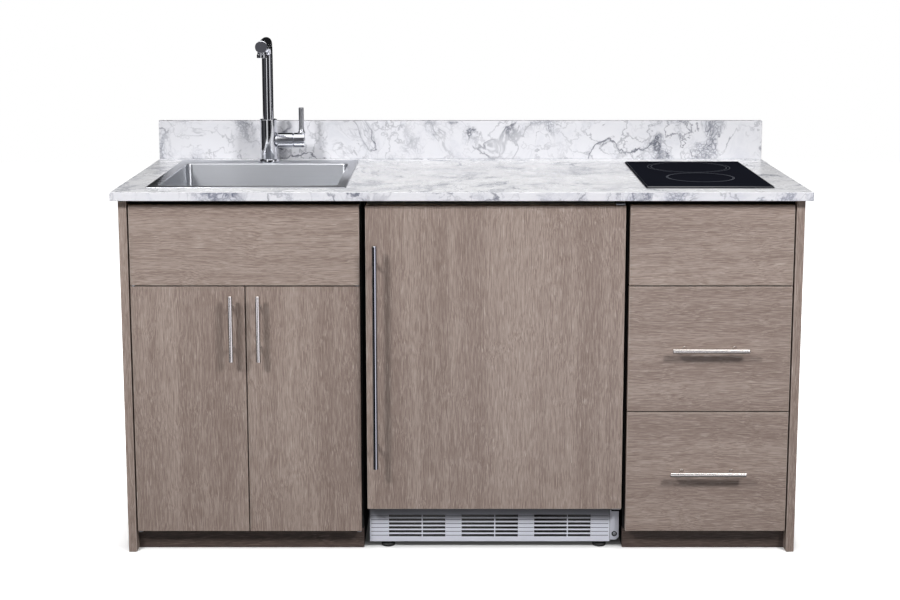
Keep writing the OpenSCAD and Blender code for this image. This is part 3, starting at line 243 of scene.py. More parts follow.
def finish(name, **sockets):
    """A material whose Principled shader has these values on its own sockets."""
    material = bpy.data.materials.new(name)
    material.use_nodes = True
    shader = material.node_tree.nodes["Principled BSDF"]
    for key, value in sockets.items():
        shader.inputs[key.replace("_", " ")].default_value = value
    return material, material.node_tree, shader


def feed(tree, shader, relief=None, depth=0.0001, **sockets):
    """Links outputs to the shader's sockets, and a height to its Normal through a Bump node."""
    for key, value in sockets.items():
        tree.links.new(value, shader.inputs[key.replace("_", " ")])
    if relief is not None:
        bump = add(tree, "Bump", {"Height": relief, "Distance": depth, "Strength": 1.0})
        tree.links.new(bump.outputs["Normal"], shader.inputs["Normal"])


def own_space(tree, scale=(1, 1, 1), turn=(0, 0, 0), shift=(0, 0, 0)):
    """The piece's own coordinates in metres, turned, moved and stretched."""
    place = add(tree, "TexCoord").outputs["Object"]
    mapping = add(tree, "Mapping", {"Vector": place, "Rotation": turn, "Location": shift, "Scale": scale})
    return mapping.outputs[0]


def noise(tree, vector, scale=1.0, detail=2.0, roughness=0.5):
    """A cloudy number from 0 to 1."""
    return add(tree, "TexNoise", {"Vector": vector, "Scale": scale, "Detail": detail,
                                  "Roughness": roughness}).outputs[0]


def between(tree, value, low, high, to_low=0.0, to_high=1.0):
    """A soft step: to_low below low, to_high above high."""
    step = add(tree, "MapRange", {0: value, 1: low, 2: high, 3: to_low, 4: to_high},
               interpolation_type="SMOOTHSTEP")
    return step.outputs[0]


def graded(tree, value, low, high):
    """A number that goes from low to high as the value goes from 0 to 1."""
    return add(tree, "MapRange", {0: value, 3: low, 4: high}).outputs[0]


def mixed(tree, share, first, second):
    """Two colours mixed by a share."""
    return add(tree, "Mix", {0: share, 6: first, 7: second}, data_type="RGBA").outputs[2]


def group(name, ins, outs):
    """An empty shader node group with named sockets: its tree, its inputs and a way to set its outputs."""
    tree = bpy.data.node_groups.new(name, "ShaderNodeTree")
    for socket, kind in ins:
        tree.interface.new_socket(socket, in_out="INPUT", socket_type="NodeSocket" + kind)
    for socket, kind in outs:
        tree.interface.new_socket(socket, in_out="OUTPUT", socket_type="NodeSocket" + kind)
    entry = tree.nodes.new("NodeGroupInput").outputs
    leave = tree.nodes.new("NodeGroupOutput").inputs
    return tree, entry, lambda **values: [tree.links.new(v, leave[k]) for k, v in values.items()]


# Fine mottle of a moulded, painted or foil-faced surface
mottle, entry, put_out = group(
    "mottle", [("Vector", "Vector"), ("Colour", "Color"), ("Spread", "Float"), ("Grain", "Float")],
    [("Colour", "Color"), ("Roughness", "Float"), ("Height", "Float")])
cloud = noise(mottle, entry["Vector"], 14.0, 3.0)
specks = noise(mottle, entry["Vector"], entry["Grain"], 3.0, 0.7)
tone = weighed(mottle, (cloud, 0.5), (specks, 0.5))
light_part = mixed(mottle, weighed(mottle, (tone, entry["Spread"])), entry["Colour"], (1, 1, 1, 1))
away = weighed(mottle, (calc(mottle, "SUBTRACT", 1.0, tone), entry["Spread"]))
put_out(Colour=mixed(mottle, away, light_part, (0, 0, 0, 1)), Height=specks,
        Roughness=graded(mottle, specks, 0.36, 0.56))


def dressed(name, effect, values, depth=0.0, turn=(0, 0, 0), shift=(0, 0, 0), **sockets):
    """A material whose colour, gloss and relief come from an effect's group with these values."""
    material, tree, shader = finish(name, **sockets)
    values = {"Vector": own_space(tree, turn=turn, shift=shift), **values}
    shown = add(tree, "Group", values, node_tree=effect).outputs
    links = {"Base_Color": shown["Colour"]}
    if "Roughness" not in sockets:
        links["Roughness"] = shown["Roughness"]
    feed(tree, shader, shown["Height"] if depth else None, depth, **links)
    return material


def moulded(name, colour, spread=0.05, grain=900.0, depth=0.00005, **sockets):
    """A plain material with a fine mottle in its colour, gloss and relief."""
    return dressed(name, mottle, {"Colour": colour, "Spread": spread, "Grain": grain}, depth, **sockets)


node_body = {name: node["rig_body"] for name, node in frame["nodes"].items()}


def stands_for(made, node):
    """The piece moves with a node and stands for it, and the node is hidden."""
    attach(made, node_body[node])
    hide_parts(node)
    return made


def goes_with(made, node):
    """A detail that moves with a node."""
    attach(made, node_body[node])
    return made


def shaped(bm, name, *materials, crease=35, eased=0.0, steps=2):
    """An object from bm, smooth up to the crease angle, with its edges eased by a small radius."""
    bmesh.ops.recalc_face_normals(bm, faces=bm.faces)
    mesh = bpy.data.meshes.new(name)
    bm.to_mesh(mesh)
    bm.free()
    for material in materials:
        mesh.materials.append(material)
    mesh.shade_smooth()
    mesh.set_sharp_from_angle(angle=math.radians(crease))
    made = placed(name, mesh)
    if eased:
        bevel = made.modifiers.new("eased_edges", "BEVEL")
        bevel.width, bevel.segments, bevel.harden_normals = eased, steps, True
        bevel.limit_method, bevel.angle_limit = "ANGLE", math.radians(crease)
        if len(materials) > 1:
            bevel.material = 1
    return made


def copied(node, *materials, eased=0.0005, steps=2):
    """The node's own shape with its flat faces joined up again and its edges eased."""
    bm = bmesh.new()
    bm.from_mesh(frame["nodes"][node].data)
    bmesh.ops.remove_doubles(bm, verts=bm.verts, dist=1e-5)
    bmesh.ops.dissolve_limit(bm, angle_limit=math.radians(0.5), verts=bm.verts, edges=bm.edges)
    for face in bm.faces:
        face.material_index = 0
    return stands_for(shaped(bm, node + "_made", *materials, eased=eased, steps=steps), node)


board_black = moulded("board_black", paint(16, 15, 16), spread=0.03, grain=700.0, Roughness=0.9,
                      Specular_IOR_Level=0.1)
tape_black = moulded("tape_black", paint(24, 23, 24), spread=0.04, grain=500.0, Roughness=0.7,
                     Specular_IOR_Level=0.2)
for node in ("sink_cabinet_sides", "drawer_cabinet_sides", "cabinet_rails"):
    copied(node, board_black, tape_black, eased=0.0006)


# ---- Cabinet floors and backs ----
# Floors of pale melamine board between the sides, and back boards of the same behind the floors. The
# melamine film has a faint mottle.
melamine = moulded("melamine_pale", paint(206, 202, 195), grain=1100.0, Specular_IOR_Level=0.4)
for node in ("cabinet_floors", "cabinet_backs"):
    copied(node, melamine, eased=0.0004)


# ---- End panels ----
# Full-height panels outside both cabinets, particle board under an oak-pattern laminate whose fibres
# stand upright, with matching tape on the front edges. They are screwed to the cabinets from inside.
oak_ground = paint(171, 156, 147)
oak_dark = paint(126, 109, 101)
oak_light = paint(190, 177, 168)

grain, entry, put_out = group(
    "oak_grain", [("Vector", "Vector"), ("Ground", "Color"), ("Dark", "Color"), ("Light", "Color")],
    [("Colour", "Color"), ("Roughness", "Float"), ("Height", "Float")])


def streaks(vector, scale, detail=2.0, roughness=0.6):
    """A noise whose marks are long where the scale is small."""
    return noise(grain, vector_calc(grain, "MULTIPLY", vector, scale), 1.0, detail, roughness)


bend = streaks(entry["Vector"], (6, 6, 2.4), 2.0, 0.5)
bend_small = streaks(entry["Vector"], (30, 30, 16), 1.0, 0.5)
sideways = weighed(grain, (bend, 0.03), (bend_small, 0.004))
push = add(grain, "CombineXYZ", {0: sideways, 1: sideways}).outputs[0]
wavy = vector_calc(grain, "ADD", entry["Vector"], push)
columns = between(grain, streaks(wavy, (19, 19, 0.6), 2.0, 0.55), 0.32, 0.68)
fibres = between(grain, streaks(wavy, (600, 600, 11)), 0.3, 0.7)
fine = streaks(wavy, (900, 900, 24), 3.0, 0.65)
pores = between(grain, streaks(wavy, (700, 700, 18)), 0.54, 0.68)
pores = calc(grain, "MULTIPLY", pores, between(grain, columns, 0.1, 0.8, 0.35, 1.0))
flecks = between(grain, streaks(wavy, (760, 740, 22)), 0.57, 0.72)
dark_share = weighed(grain, (columns, 0.38), (fibres, 0.34), (between(grain, fine, 0.4, 0.62), 0.66))
toned = mixed(grain, dark_share, entry["Ground"], entry["Dark"])
toned = mixed(grain, weighed(grain, (pores, 0.95)), toned, entry["Dark"])
toned = mixed(grain, weighed(grain, (flecks, 0.7)), toned, entry["Light"])
put_out(Colour=toned, Height=calc(grain, "SUBTRACT", fine, weighed(grain, (pores, 0.7))),
        Roughness=graded(grain, fibres, 0.42, 0.58))


def oak(name, level=False, cut=0.0, ground=oak_ground, dark=oak_dark, light=oak_light):
    """Oak laminate with upright or level fibres; cut is how far along the sheet the piece was sawn."""
    return dressed(name, grain, {"Ground": ground, "Dark": dark, "Light": light}, 0.00012,
                   turn=(0, math.pi / 2, 0) if level else (0, 0, 0), shift=(cut, cut / 3, cut / 2),
                   Specular_IOR_Level=0.35)


oak_edge = oak("oak_edge", ground=paint(188, 175, 166), dark=paint(158, 143, 134),
               light=paint(206, 196, 188))
board_ease = 0.0011


def oak_board(node, cut, level=False):
    """A board with the node's shape, faced in oak and taped on its edges."""
    copied(node, oak("oak_" + node, level, cut), oak_edge, eased=board_ease)


oak_board("left_end_panel", 1.7)
oak_board("right_end_panel", 2.7)


# ---- Toe kicks ----
# Set-back strips that close the space under the cabinet floors, in the oak laminate with level fibres,
# coloured darker than the doors as painted shade for their set-back place. They clip to the cabinet
# sides and can be pulled off to clean.
kick_oak_painted_shade = oak("oak_kick_painted_shade", level=True, cut=4.2, ground=paint(104, 89, 82), dark=paint(70, 58, 53),
           light=paint(126, 111, 103))
copied("toe_kicks", kick_oak_painted_shade, eased=0.0006)


# ---- False fronts ----
# Fixed fronts above the doors and above the drawers, in oak laminate with level fibres and taped
# edges. They are screwed on from behind, through the upper rail.
oak_board("sink_false_front", 7.1, level=True)
oak_board("hob_false_front", 9.4, level=True)


# ---- Door pivots ----
# Zinc-plated steel leaves with an upright pin, screwed under and over each door, and bored brass
# bushes pressed into the door's ends. The doors turn on them without any hinge showing.
def dimmed(colour):
    """The colour, a tenth darker."""
    return tuple(c * 0.9 for c in colour[:3]) + (1,)


def metal(name, colour, roughness, scratch=(60, 60, 60), depth=0.00001, **sockets):
    """Metal with fine marks, whose scale is given for each direction."""
    material, tree, shader = finish(name, Metallic=1.0, **sockets)
    marks = noise(tree, own_space(tree, scale=scratch), 1.0, 3.0, 0.6)
    shade = mixed(tree, between(tree, marks, 0.25, 0.8), colour, dimmed(colour))
    gloss = graded(tree, marks, roughness * 0.85, roughness * 1.2)
    feed(tree, shader, marks if depth else None, depth, Base_Color=shade, Roughness=gloss)
    return material


zinc = metal("zinc_plated", paint(186, 188, 192), 0.34, (90, 90, 90))
brass = metal("turned_brass", paint(196, 160, 92), 0.26, (300, 300, 20))
copied("door_pivot_leaves", zinc, eased=0.0003)
for node in ("left_door_bushes", "right_door_bushes"):
    copied(node, brass, eased=0.0003)


# ---- Doors and drawer fronts ----
# Particle board in oak laminate, upright fibres on the doors and level ones on the drawer fronts, with
# lighter tape on all four edges. The doors are bored at both ends for their bushes.
oak_board("left_door", 13.0)
oak_board("right_door", 14.5)
oak_board("upper_drawer_front", 17.9, level=True)
oak_board("lower_drawer_front", 20.0, level=True)


# ---- Drawer boxes and runners ----
# Boxes of pale board behind the drawer fronts, on folded steel runners with plastic rollers, in
# channels screwed to the cabinet sides. Runners and channels have a white powder coat.
drawer_board = moulded("drawer_board", paint(214, 208, 198), spread=0.06, grain=260.0,
                       Specular_IOR_Level=0.4)
powder_white = moulded("powder_white", paint(226, 226, 224), spread=0.03, grain=1500.0, depth=0.00004)
for node in ("upper_drawer_box", "lower_drawer_box"):
    copied(node, drawer_board, eased=0.0008)
for node in ("drawer_channels", "upper_drawer_runners", "lower_drawer_runners"):
    copied(node, powder_white, eased=0.0003)


# ---- Handles of doors, drawers and fridge ----
# Bars of brushed metal with chamfered ends, each on two turned posts that are screwed through the
# front from behind. The fridge's bar is longer and darker than the others.
def skin(bm, lower, upper):
    """Faces between two rings of corners; a ring of one corner closes to a point."""
    count = max(len(lower), len(upper))
    for i in range(count):
        j = (i + 1) % count
        corners = [ring[k % len(ring)] for ring, k in ((lower, i), (lower, j), (upper, j), (upper, i))]
        bm.faces.new(list(dict.fromkeys(corners)))


def loft(bm, rings, closed=False):
    """Faces along a row of rings; closed joins the last one to the first."""
    for lower, upper in zip(rings, rings[1:] + rings[:1] if closed else rings[1:]):
        skin(bm, lower, upper)


def circle(sides):
    """The angles of a circle's corners."""
    return [2 * math.pi * i / sides for i in range(sides)]


def turned(bm, profile, start, axis=(0, 0, 1), sides=48, closed=False):
    """A turned shape from pairs of radius and distance along the axis; closed makes it a ring."""
    up = Vector(axis).normalized()
    side = Vector((0, 1, 0)) if abs(up.y) < 0.9 else Vector((1, 0, 0))
    across = up.cross(side).normalized()
    side = across.cross(up)
    rings = []
    for radius, along in profile:
        centre = Vector(start) + up * along
        turns = circle(sides) if radius > 1e-7 else [0]
        rings.append([bm.verts.new(centre + (side * math.cos(t) + across * math.sin(t)) * radius)
                      for t in turns])
    loft(bm, rings, closed)


def turned_piece(name, material, profile, start, axis=(0, 0, 1), sides=48, crease=35, closed=False):
    """One turned shape as an object of its own."""
    bm = bmesh.new()
    turned(bm, profile, start, axis, sides, closed)
    return shaped(bm, name, material, crease=crease)


def bar_handle(node, material, posts_apart):
    """A round bar on two posts that fills the box of a node, along the box's longest side."""
    low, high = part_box(node)
    size, middle = high - low, (low + high) / 2
    upright = size.z > size.x
    axis = Vector((0, 0, 1)) if upright else Vector((1, 0, 0))
    length, radius = (size.z, size.x / 2) if upright else (size.x, size.z / 2)
    chamfer, post, collar = 0.0009, 0.004, 0.0052
    bm = bmesh.new()
    bar = Vector((middle.x, low.y + radius, middle.z))
    turned(bm, [(0, 0), (radius - chamfer, 0), (radius, chamfer), (radius, length - chamfer),
                (radius - chamfer, length), (0, length)], bar - axis * length / 2, axis)
    for end in (-0.5, 0.5):
        foot = Vector((middle.x, high.y, middle.z)) + axis * posts_apart * end
        reach = high.y - bar.y - radius * 0.6
        turned(bm, [(0, 0), (collar, 0), (collar, 0.0011), (collar - 0.0005, 0.0016), (post, 0.0016),
                    (post, reach), (0, reach)], foot, (0, -1, 0), 32)
    return stands_for(shaped(bm, node + "_made", material), node)


def brushed_bar(name, colour, upright, roughness):
    """Metal brushed around a bar, so that its marks cross the bar's length."""
    return metal(name, colour, roughness, (60, 60, 1500) if upright else (1500, 60, 60), 0)


door_post_gap, drawer_post_gap, fridge_post_gap = 0.096, 0.116, 0.432
nickel = paint(226, 220, 215)
for node, upright, post_gap in (("left_door_handle", True, door_post_gap),
                                ("right_door_handle", True, door_post_gap),
                                ("upper_drawer_handle", False, drawer_post_gap),
                                ("lower_drawer_handle", False, drawer_post_gap)):
    bar_handle(node, brushed_bar("nickel_" + node, nickel, upright, 0.2), post_gap)
fridge_steel = brushed_bar("steel_fridge_handle", paint(176, 176, 182), True, 0.08)
bar_handle("fridge_door_handle", fridge_steel, fridge_post_gap)


# ---- Worktop and backsplash ----
# Board under a white marble-pattern laminate, with a strip of it glued round the edges, coloured greyer
# as painted shade, and sawn openings for the sink and the hob that show the board's core. The
# backsplash is a strip of the same board on the worktop's back edge, its laminate coloured greyer
# than the worktop's as painted shade.
marble, entry, put_out = group(
    "marble_veins", [("Vector", "Vector"), ("Ground", "Color"), ("Vein", "Color"), ("Cloud", "Color")],
    [("Colour", "Color"), ("Roughness", "Float")])
drift = add(marble, "TexNoise", {"Vector": entry["Vector"], "Scale": 3.5, "Detail": 3.0}).outputs[1]
drift = vector_calc(marble, "SUBTRACT", drift, (0.5, 0.5, 0.5))
drift = vector_calc(marble, "MULTIPLY", drift, (0.3, 0.3, 0.3))
crooked = vector_calc(marble, "ADD", entry["Vector"], drift)


def cracks(vector, scale, detail, sharp):
    """1 on crooked lines where a noise crosses its middle, falling to 0 at the given distance."""
    level = noise(marble, vector, scale, detail, 0.58)
    gap = calc(marble, "ABSOLUTE", calc(marble, "SUBTRACT", level, 0.5))
    return between(marble, gap, 0.0, sharp, 1.0, 0.0)


patches = between(marble, noise(marble, entry["Vector"], 4.5, 3.0, 0.6), 0.42, 0.66)
faint_patches = between(marble, noise(marble, entry["Vector"], 6.5, 3.0, 0.6), 0.36, 0.7)
main_share = between(marble, faint_patches, 0, 1, 0.3, 1)
main_line = weighed(marble, (cracks(crooked, 5.0, 6.0, 0.019), main_share))
main_halo = weighed(marble, (cracks(crooked, 5.0, 6.0, 0.075), patches))
dark_line = weighed(marble, (cracks(crooked, 8.0, 7.0, 0.014), patches))
fine_line = weighed(marble, (cracks(entry["Vector"], 12.0, 6.0, 0.022), faint_patches))
torn = add(marble, "TexNoise", {"Vector": entry["Vector"], "Scale": 60.0, "Detail": 2.0}).outputs[1]
torn = vector_calc(marble, "MULTIPLY", torn, (0.012, 0.012, 0.012))
torn = vector_calc(marble, "ADD", crooked, torn)
cells = add(marble, "TexVoronoi", {"Vector": torn, "Scale": 95.0}, feature="DISTANCE_TO_EDGE").outputs[0]
cell_line = weighed(marble, (between(marble, cells, 0.0, 0.2, 0.75, 0.0), main_halo))
haze = between(marble, noise(marble, crooked, 16.0, 5.0, 0.7), 0.46, 0.75)
ground = mixed(marble, weighed(marble, (main_halo, 0.42), (haze, 0.26)), entry["Ground"], entry["Cloud"])
lines = weighed(marble, (main_line, 0.9))
for line in (weighed(marble, (fine_line, 0.5)), cell_line, weighed(marble, (dark_line, 0.7))):
    lines = calc(marble, "MAXIMUM", lines, line)
put_out(Colour=mixed(marble, lines, ground, entry["Vein"]),
        Roughness=graded(marble, haze, 0.26, 0.36))


def marble_laminate(name, cut, ground, vein, cloud):
    """Marble laminate; cut is how far along the sheet the piece was sawn."""
    return dressed(name, marble, {"Ground": ground, "Vein": vein, "Cloud": cloud},
                   shift=(cut, cut / 2, cut / 3), Specular_IOR_Level=0.14)


chipboard = moulded("chipboard_core", paint(186, 156, 118), spread=0.22, grain=420.0, depth=0.0003)
top_marble = marble_laminate("marble_worktop", 3.6, paint(241, 241, 243), paint(142, 145, 156),
                             paint(222, 223, 229))
# The edge strip is the worktop's laminate in greyer colours: painted shade on the upright faces.
edge_marble_painted_shade = marble_laminate("marble_edge_painted_shade", 5.3, paint(216, 216, 221), paint(80, 84, 102),
                              paint(150, 154, 174))
worktop = copied("worktop", top_marble, eased=0.0012)
worktop.data.materials.append(chipboard)
worktop.data.materials.append(edge_marble_painted_shade)
worktop_low, worktop_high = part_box("worktop")
for face in worktop.data.polygons:
    edge_room = min(face.center.x - worktop_low.x, worktop_high.x - face.center.x,
                    face.center.y - worktop_low.y, worktop_high.y - face.center.y)
    if face.normal.z < -0.5 or (abs(face.normal.z) < 0.5 and edge_room > 0.01):
        face.material_index = 1
    elif abs(face.normal.z) < 0.5:
        face.material_index = 2
# The backsplash's laminate is coloured greyer than the worktop's: painted shade.
splash_marble_painted_shade = marble_laminate("marble_backsplash_painted_shade", 8.4, paint(214, 214, 218), paint(80, 83, 96),
                                paint(168, 171, 182))
copied("backsplash", splash_marble_painted_shade, eased=0.0012)


# ---- Sink ----
# One pressed sheet of stainless steel: a flat rim with a rolled edge that lies on the worktop, a deep
# bowl with tight corners, and a deck with the tap's hole. It is brushed along its length and clamped
# from below with four hooks.
def quarter_turn(steps):
    """Angles from 0 to a quarter turn."""
    return [math.pi / 2 * i / steps for i in range(steps + 1)]


def rounded(half_w, half_d, radius, steps=6):
    """Corners of a rectangle with round corners, about its middle."""
    points = []
    for quarter, (sx, sy) in enumerate(((1, 1), (-1, 1), (-1, -1), (1, -1))):
        for i in range(steps + 1):
            turn = (quarter + i / steps) * math.pi / 2
            points.append((sx * (half_w - radius) + radius * math.cos(turn),
                           sy * (half_d - radius) + radius * math.sin(turn)))
    return points


brushed, entry, put_out = group(
    "brushed_sheet", [("Vector", "Vector"), ("Normal", "Vector"), ("Colour", "Color"), ("Dull", "Float")],
    [("Colour", "Color"), ("Roughness", "Float"), ("Height", "Float")])
facing = add(brushed, "SeparateXYZ", {0: entry["Normal"]}).outputs[0]
sideways = between(brushed, calc(brushed, "ABSOLUTE", facing), 0.6, 0.8)
along_x, along_y = (noise(brushed, vector_calc(brushed, "MULTIPLY", entry["Vector"], by), 1.0, 4.0, 0.7)
                    for by in ((5, 900, 900), (900, 5, 900)))
lines = add(brushed, "Mix", {0: sideways, 2: along_x, 3: along_y}).outputs[0]
uneven = calc(brushed, "ADD", lines, noise(brushed, entry["Vector"], 9.0, 2.0))
put_out(Colour=mixed(brushed, weighed(brushed, (lines, 0.16)), entry["Colour"], (0, 0, 0, 1)), Height=lines,
        Roughness=calc(brushed, "ADD", entry["Dull"], weighed(brushed, (uneven, 0.1))))
sink_steel = dressed("sink_steel", brushed, {"Colour": paint(204, 206, 211), "Dull": 0.24}, 0.000006,
                     Metallic=1.0, Anisotropic=0.7, Anisotropic_Rotation=0.25)
tree = sink_steel.node_tree
tree.links.new(add(tree, "TexCoord").outputs["Normal"], tree.nodes["Group"].inputs["Normal"])
sink_low, sink_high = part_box("sink_bowl")
drain_low, drain_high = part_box("drain_body")
rim_mid = (sink_low + sink_high) / 2
bowl_mid = (drain_low + drain_high) / 2
tap_low, tap_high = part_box("tap_body")
rim_half = (sink_high - sink_low) / 2
rim_corner, rim_h, sheet_t, roll = 0.004, 0.0018, 0.0012, 0.001
bowl_half = Vector((0.208, 0.202))
bowl_corner, lip_round, foot_round, wall_lean = 0.014, 0.0035, 0.012, 0.002
deck_z, bowl_z = sink_high.z, sink_low.z + 0.0018
drain_hole, drain_seat, floor_fall = 0.0445, 0.058, 0.003
tap_axis = Vector((rim_mid.x, (tap_low.y + tap_high.y) / 2))
tap_hole = 0.0165
bm = bmesh.new()


def sink_ring(half_w, half_d, radius, z, middle):
    """A level ring of corners round the sink's rim or bowl."""
    return [bm.verts.new((middle.x + x, middle.y + y, z)) for x, y in rounded(half_w, half_d, radius)]


rim_rings = [sink_ring(rim_half.x - inset, rim_half.y - inset, rim_corner, z, rim_mid)
             for inset, z in ((0, deck_z - rim_h), (0, deck_z - roll),
                              (roll * 0.3, deck_z - roll * 0.3), (roll, deck_z))]
bowl_rings = [(lip_round * (1 - math.sin(turn)), deck_z - lip_round + lip_round * math.cos(turn))
              for turn in quarter_turn(5)]
bowl_rings += [(-wall_lean - foot_round * (1 - math.cos(turn)),
                bowl_z + floor_fall + foot_round - foot_round * math.sin(turn)) for turn in quarter_turn(5)]
bowl_loops = [sink_ring(bowl_half.x + out, bowl_half.y + out, max(bowl_corner + out, 0.0018), z, bowl_mid)
              for out, z in bowl_rings]
bowl_loops += [sink_ring(r, r, r - 1e-4, z, bowl_mid)
               for r, z in ((0.075, bowl_z + 0.0006), (drain_seat, bowl_z), (drain_hole, bowl_z))]
loft(bm, rim_rings)
loft(bm, bowl_loops)
hole = [bm.verts.new((tap_axis.x + tap_hole * math.cos(t), tap_axis.y + tap_hole * math.sin(t), deck_z))
        for t in circle(32)]
borders = []
for ring in (rim_rings[-1], bowl_loops[0], hole):
    for i, corner in enumerate(ring):
        following = ring[(i + 1) % len(ring)]
        borders.append(bm.edges.get((corner, following)) or bm.edges.new((corner, following)))
bmesh.ops.triangle_fill(bm, edges=borders, use_beauty=True, use_dissolve=False)
sink = shaped(bm, "sink_made", sink_steel, crease=50)
if max(sink.data.polygons, key=lambda face: face.area).normal.z < 0:
    sink.data.flip_normals()
sheet = sink.modifiers.new("sheet", "SOLIDIFY")
sheet.thickness, sheet.offset = sheet_t, -1
stands_for(sink, "sink_bowl")
copied("sink_clips", zinc, eased=0.0003)


# ---- Drain and strainer ----
# A polished steel cup with a flange that clamps the bowl's hole from above and a nut from below, a
# plastic tailpiece on its slip nut, and a lift-out basket of pierced steel with a knob.
polished = metal("polished_steel", paint(208, 210, 213), 0.16, (120, 120, 30))
tail_white = moulded("tailpiece_white", paint(222, 222, 219), spread=0.03, Specular_IOR_Level=0.5)
copied("drain_body", polished, eased=0.0005)
copied("drain_tailpiece", tail_white, eased=0.0006)
copied("strainer_basket", polished, eased=0.0004)


# ---- Tap ----
# A dark chromed brass mixer: a flanged body, the valve on a narrower neck at its right side, a swivel
# spout with an aerator under its end, and one lever that tilts for flow and turns with the valve's stem.
# A stud and a nut hold it under the deck, and two copper tails hang below the stud.
def chrome(name, colour, roughness):
    """Plated metal under a thin uneven film."""
    material, tree, shader = finish(name, Metallic=1.0)
    film = noise(tree, own_space(tree), 90.0, 3.0, 0.6)
    gloss = graded(tree, film, roughness * 0.7, roughness * 1.3)
    feed(tree, shader, Base_Color=mixed(tree, film, colour, dimmed(colour)), Roughness=gloss)
    return material


def swept(bm, route, radius, sides=48):
    """A round tube along a route that lies in one upright plane, with its ends closed."""
    rings = []
    for i, point in enumerate(route):
        before, after = route[max(i - 1, 0)], route[min(i + 1, len(route) - 1)]
        ahead = (after - before).normalized()
        across = ahead.cross(plane_normal(route)).normalized()
        beside = ahead.cross(across)
        rings.append([bm.verts.new(point + (across * math.cos(t) + beside * math.sin(t)) * radius)
                      for t in circle(sides)])
    loft(bm, rings)
    for ring, point in ((rings[0], route[0]), (rings[-1], route[-1])):
        skin(bm, ring, [bm.verts.new(point)])


def plane_normal(route):
    """The direction square to the plane that the route lies in."""
    first, last = route[1] - route[0], route[-1] - route[-2]
    normal = first.cross(last)
    return normal.normalized() if normal.length > 1e-9 else first.orthogonal().normalized()


def joined(first, second):
    """The first object with the second one welded to it."""
    weld = first.modifiers.new("weld", "BOOLEAN")
    weld.operation, weld.object, weld.solver = "UNION", second, "EXACT"
    mesh = bpy.data.meshes.new_from_object(first.evaluated_get(bpy.context.evaluated_depsgraph_get()))
    first.modifiers.clear()
    first.data = mesh
    mesh.shade_smooth()
    mesh.set_sharp_from_angle(angle=math.radians(30))
    bpy.data.objects.remove(second)
    return first


dark_chrome = chrome("dark_chrome", paint(232, 233, 238), 0.06)
tap_x, tap_y = tap_axis.x, tap_axis.y
stud_foot, body_top = tap_low.z - deck_z, tap_high.z - deck_z
body_r, flange_r, flange_h, valve_r, neck_r, valve_end = 0.022, 0.0275, 0.009, 0.0195, 0.0135, 0.065
valve_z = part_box("tap_valve_stem")[0].z + valve_r
stud_r, socket_r, socket_d = 0.016, 0.0143, 0.004
tap_body = turned_piece("tap_body_made", dark_chrome, [
    (0, stud_foot), (stud_r, stud_foot), (stud_r, 0), (flange_r - 0.0006, 0), (flange_r, 0.0006),
    (flange_r, flange_h - 0.0016), (flange_r - 0.0004, flange_h - 0.0006), (flange_r - 0.0014, flange_h),
    (body_r, flange_h), (body_r, body_top - 0.0007), (body_r - 0.0007, body_top), (socket_r, body_top),
    (socket_r, body_top - socket_d), (0, body_top - socket_d)], (tap_x, tap_y, deck_z), sides=72, crease=30)
tap_valve = turned_piece("tap_valve_housing", dark_chrome, [
    (0, 0.001), (neck_r, 0.001), (neck_r, body_r + 0.0012), (valve_r - 0.001, body_r + 0.0022),
    (valve_r, body_r + 0.0034), (valve_r, valve_end - 0.0024), (valve_r - 0.0018, valve_end - 0.0004),
    (valve_r - 0.0024, valve_end), (0, valve_end)], (tap_x, tap_y, valve_z), (1, 0, 0), 72, 30)
stands_for(joined(tap_body, tap_valve), "tap_body")

spout_rest = math.radians(3.7)
spout_low, spout_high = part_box("tap_spout")
spout_r, cap_r, bend_r, spout_reach, end_l = 0.014, 0.015, 0.035, 0.261, 0.004
spout_z = spout_high.z - cap_r
out = Vector((-math.sin(-spout_rest), -math.cos(spout_rest), 0))
foot = Vector((tap_x, tap_y, 0))
route = [foot + Vector((0, 0, spout_low.z + 0.0005)), foot + Vector((0, 0, spout_z - bend_r))]
for turn in quarter_turn(14)[1:]:
    route.append(foot + out * bend_r * (1 - math.cos(turn))
                 + Vector((0, 0, spout_z - bend_r + bend_r * math.sin(turn))))
route.append(foot + out * (spout_reach - end_l) + Vector((0, 0, spout_z)))
bm = bmesh.new()
swept(bm, route, spout_r)
spout = shaped(bm, "tap_spout_made", dark_chrome, crease=30)
spout = joined(spout, turned_piece("tap_spout_end", dark_chrome, [
    (0, 0), (spout_r, 0), (cap_r, 0.0006), (cap_r, end_l - 0.0008), (cap_r - 0.0008, end_l), (0, end_l)],
    foot + out * (spout_reach - end_l - 0.0002) + Vector((0, 0, spout_z)), out, 64, 30))
aerator_low, aerator_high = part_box("tap_aerator")
aerator_r = (aerator_high.x - aerator_low.x) / 2
aerator_mid = (aerator_low + aerator_high) / 2
boss_r, boss_top = aerator_r - 0.0016, spout_z - 0.004
boss = turned_piece("tap_spout_boss", dark_chrome, [
    (0, aerator_high.z), (boss_r, aerator_high.z), (boss_r, boss_top), (0, boss_top)],
    (aerator_mid.x, aerator_mid.y, 0), crease=30)
stands_for(joined(spout, boss), "tap_spout")

mesh_grey = moulded("aerator_screen", paint(58, 58, 62), spread=0.3, grain=2600.0, depth=0.0004)
height = aerator_high.z - aerator_low.z
aerator_foot = (aerator_mid.x, aerator_mid.y, aerator_low.z)
stands_for(turned_piece("tap_aerator_made", dark_chrome, [
    (0.0085, 0.0003), (aerator_r - 0.0008, 0), (aerator_r, 0.0008), (aerator_r, height - 0.0012),
    (aerator_r - 0.0012, height), (0.0075, height), (0.0075, 0.003), (0.0085, 0.0024)],
    aerator_foot, closed=True), "tap_aerator")
goes_with(turned_piece("tap_aerator_screen", mesh_grey, [
    (0, 0.0018), (0.0076, 0.0018), (0.0076, 0.003), (0, 0.003)], aerator_foot, sides=32), "tap_aerator")

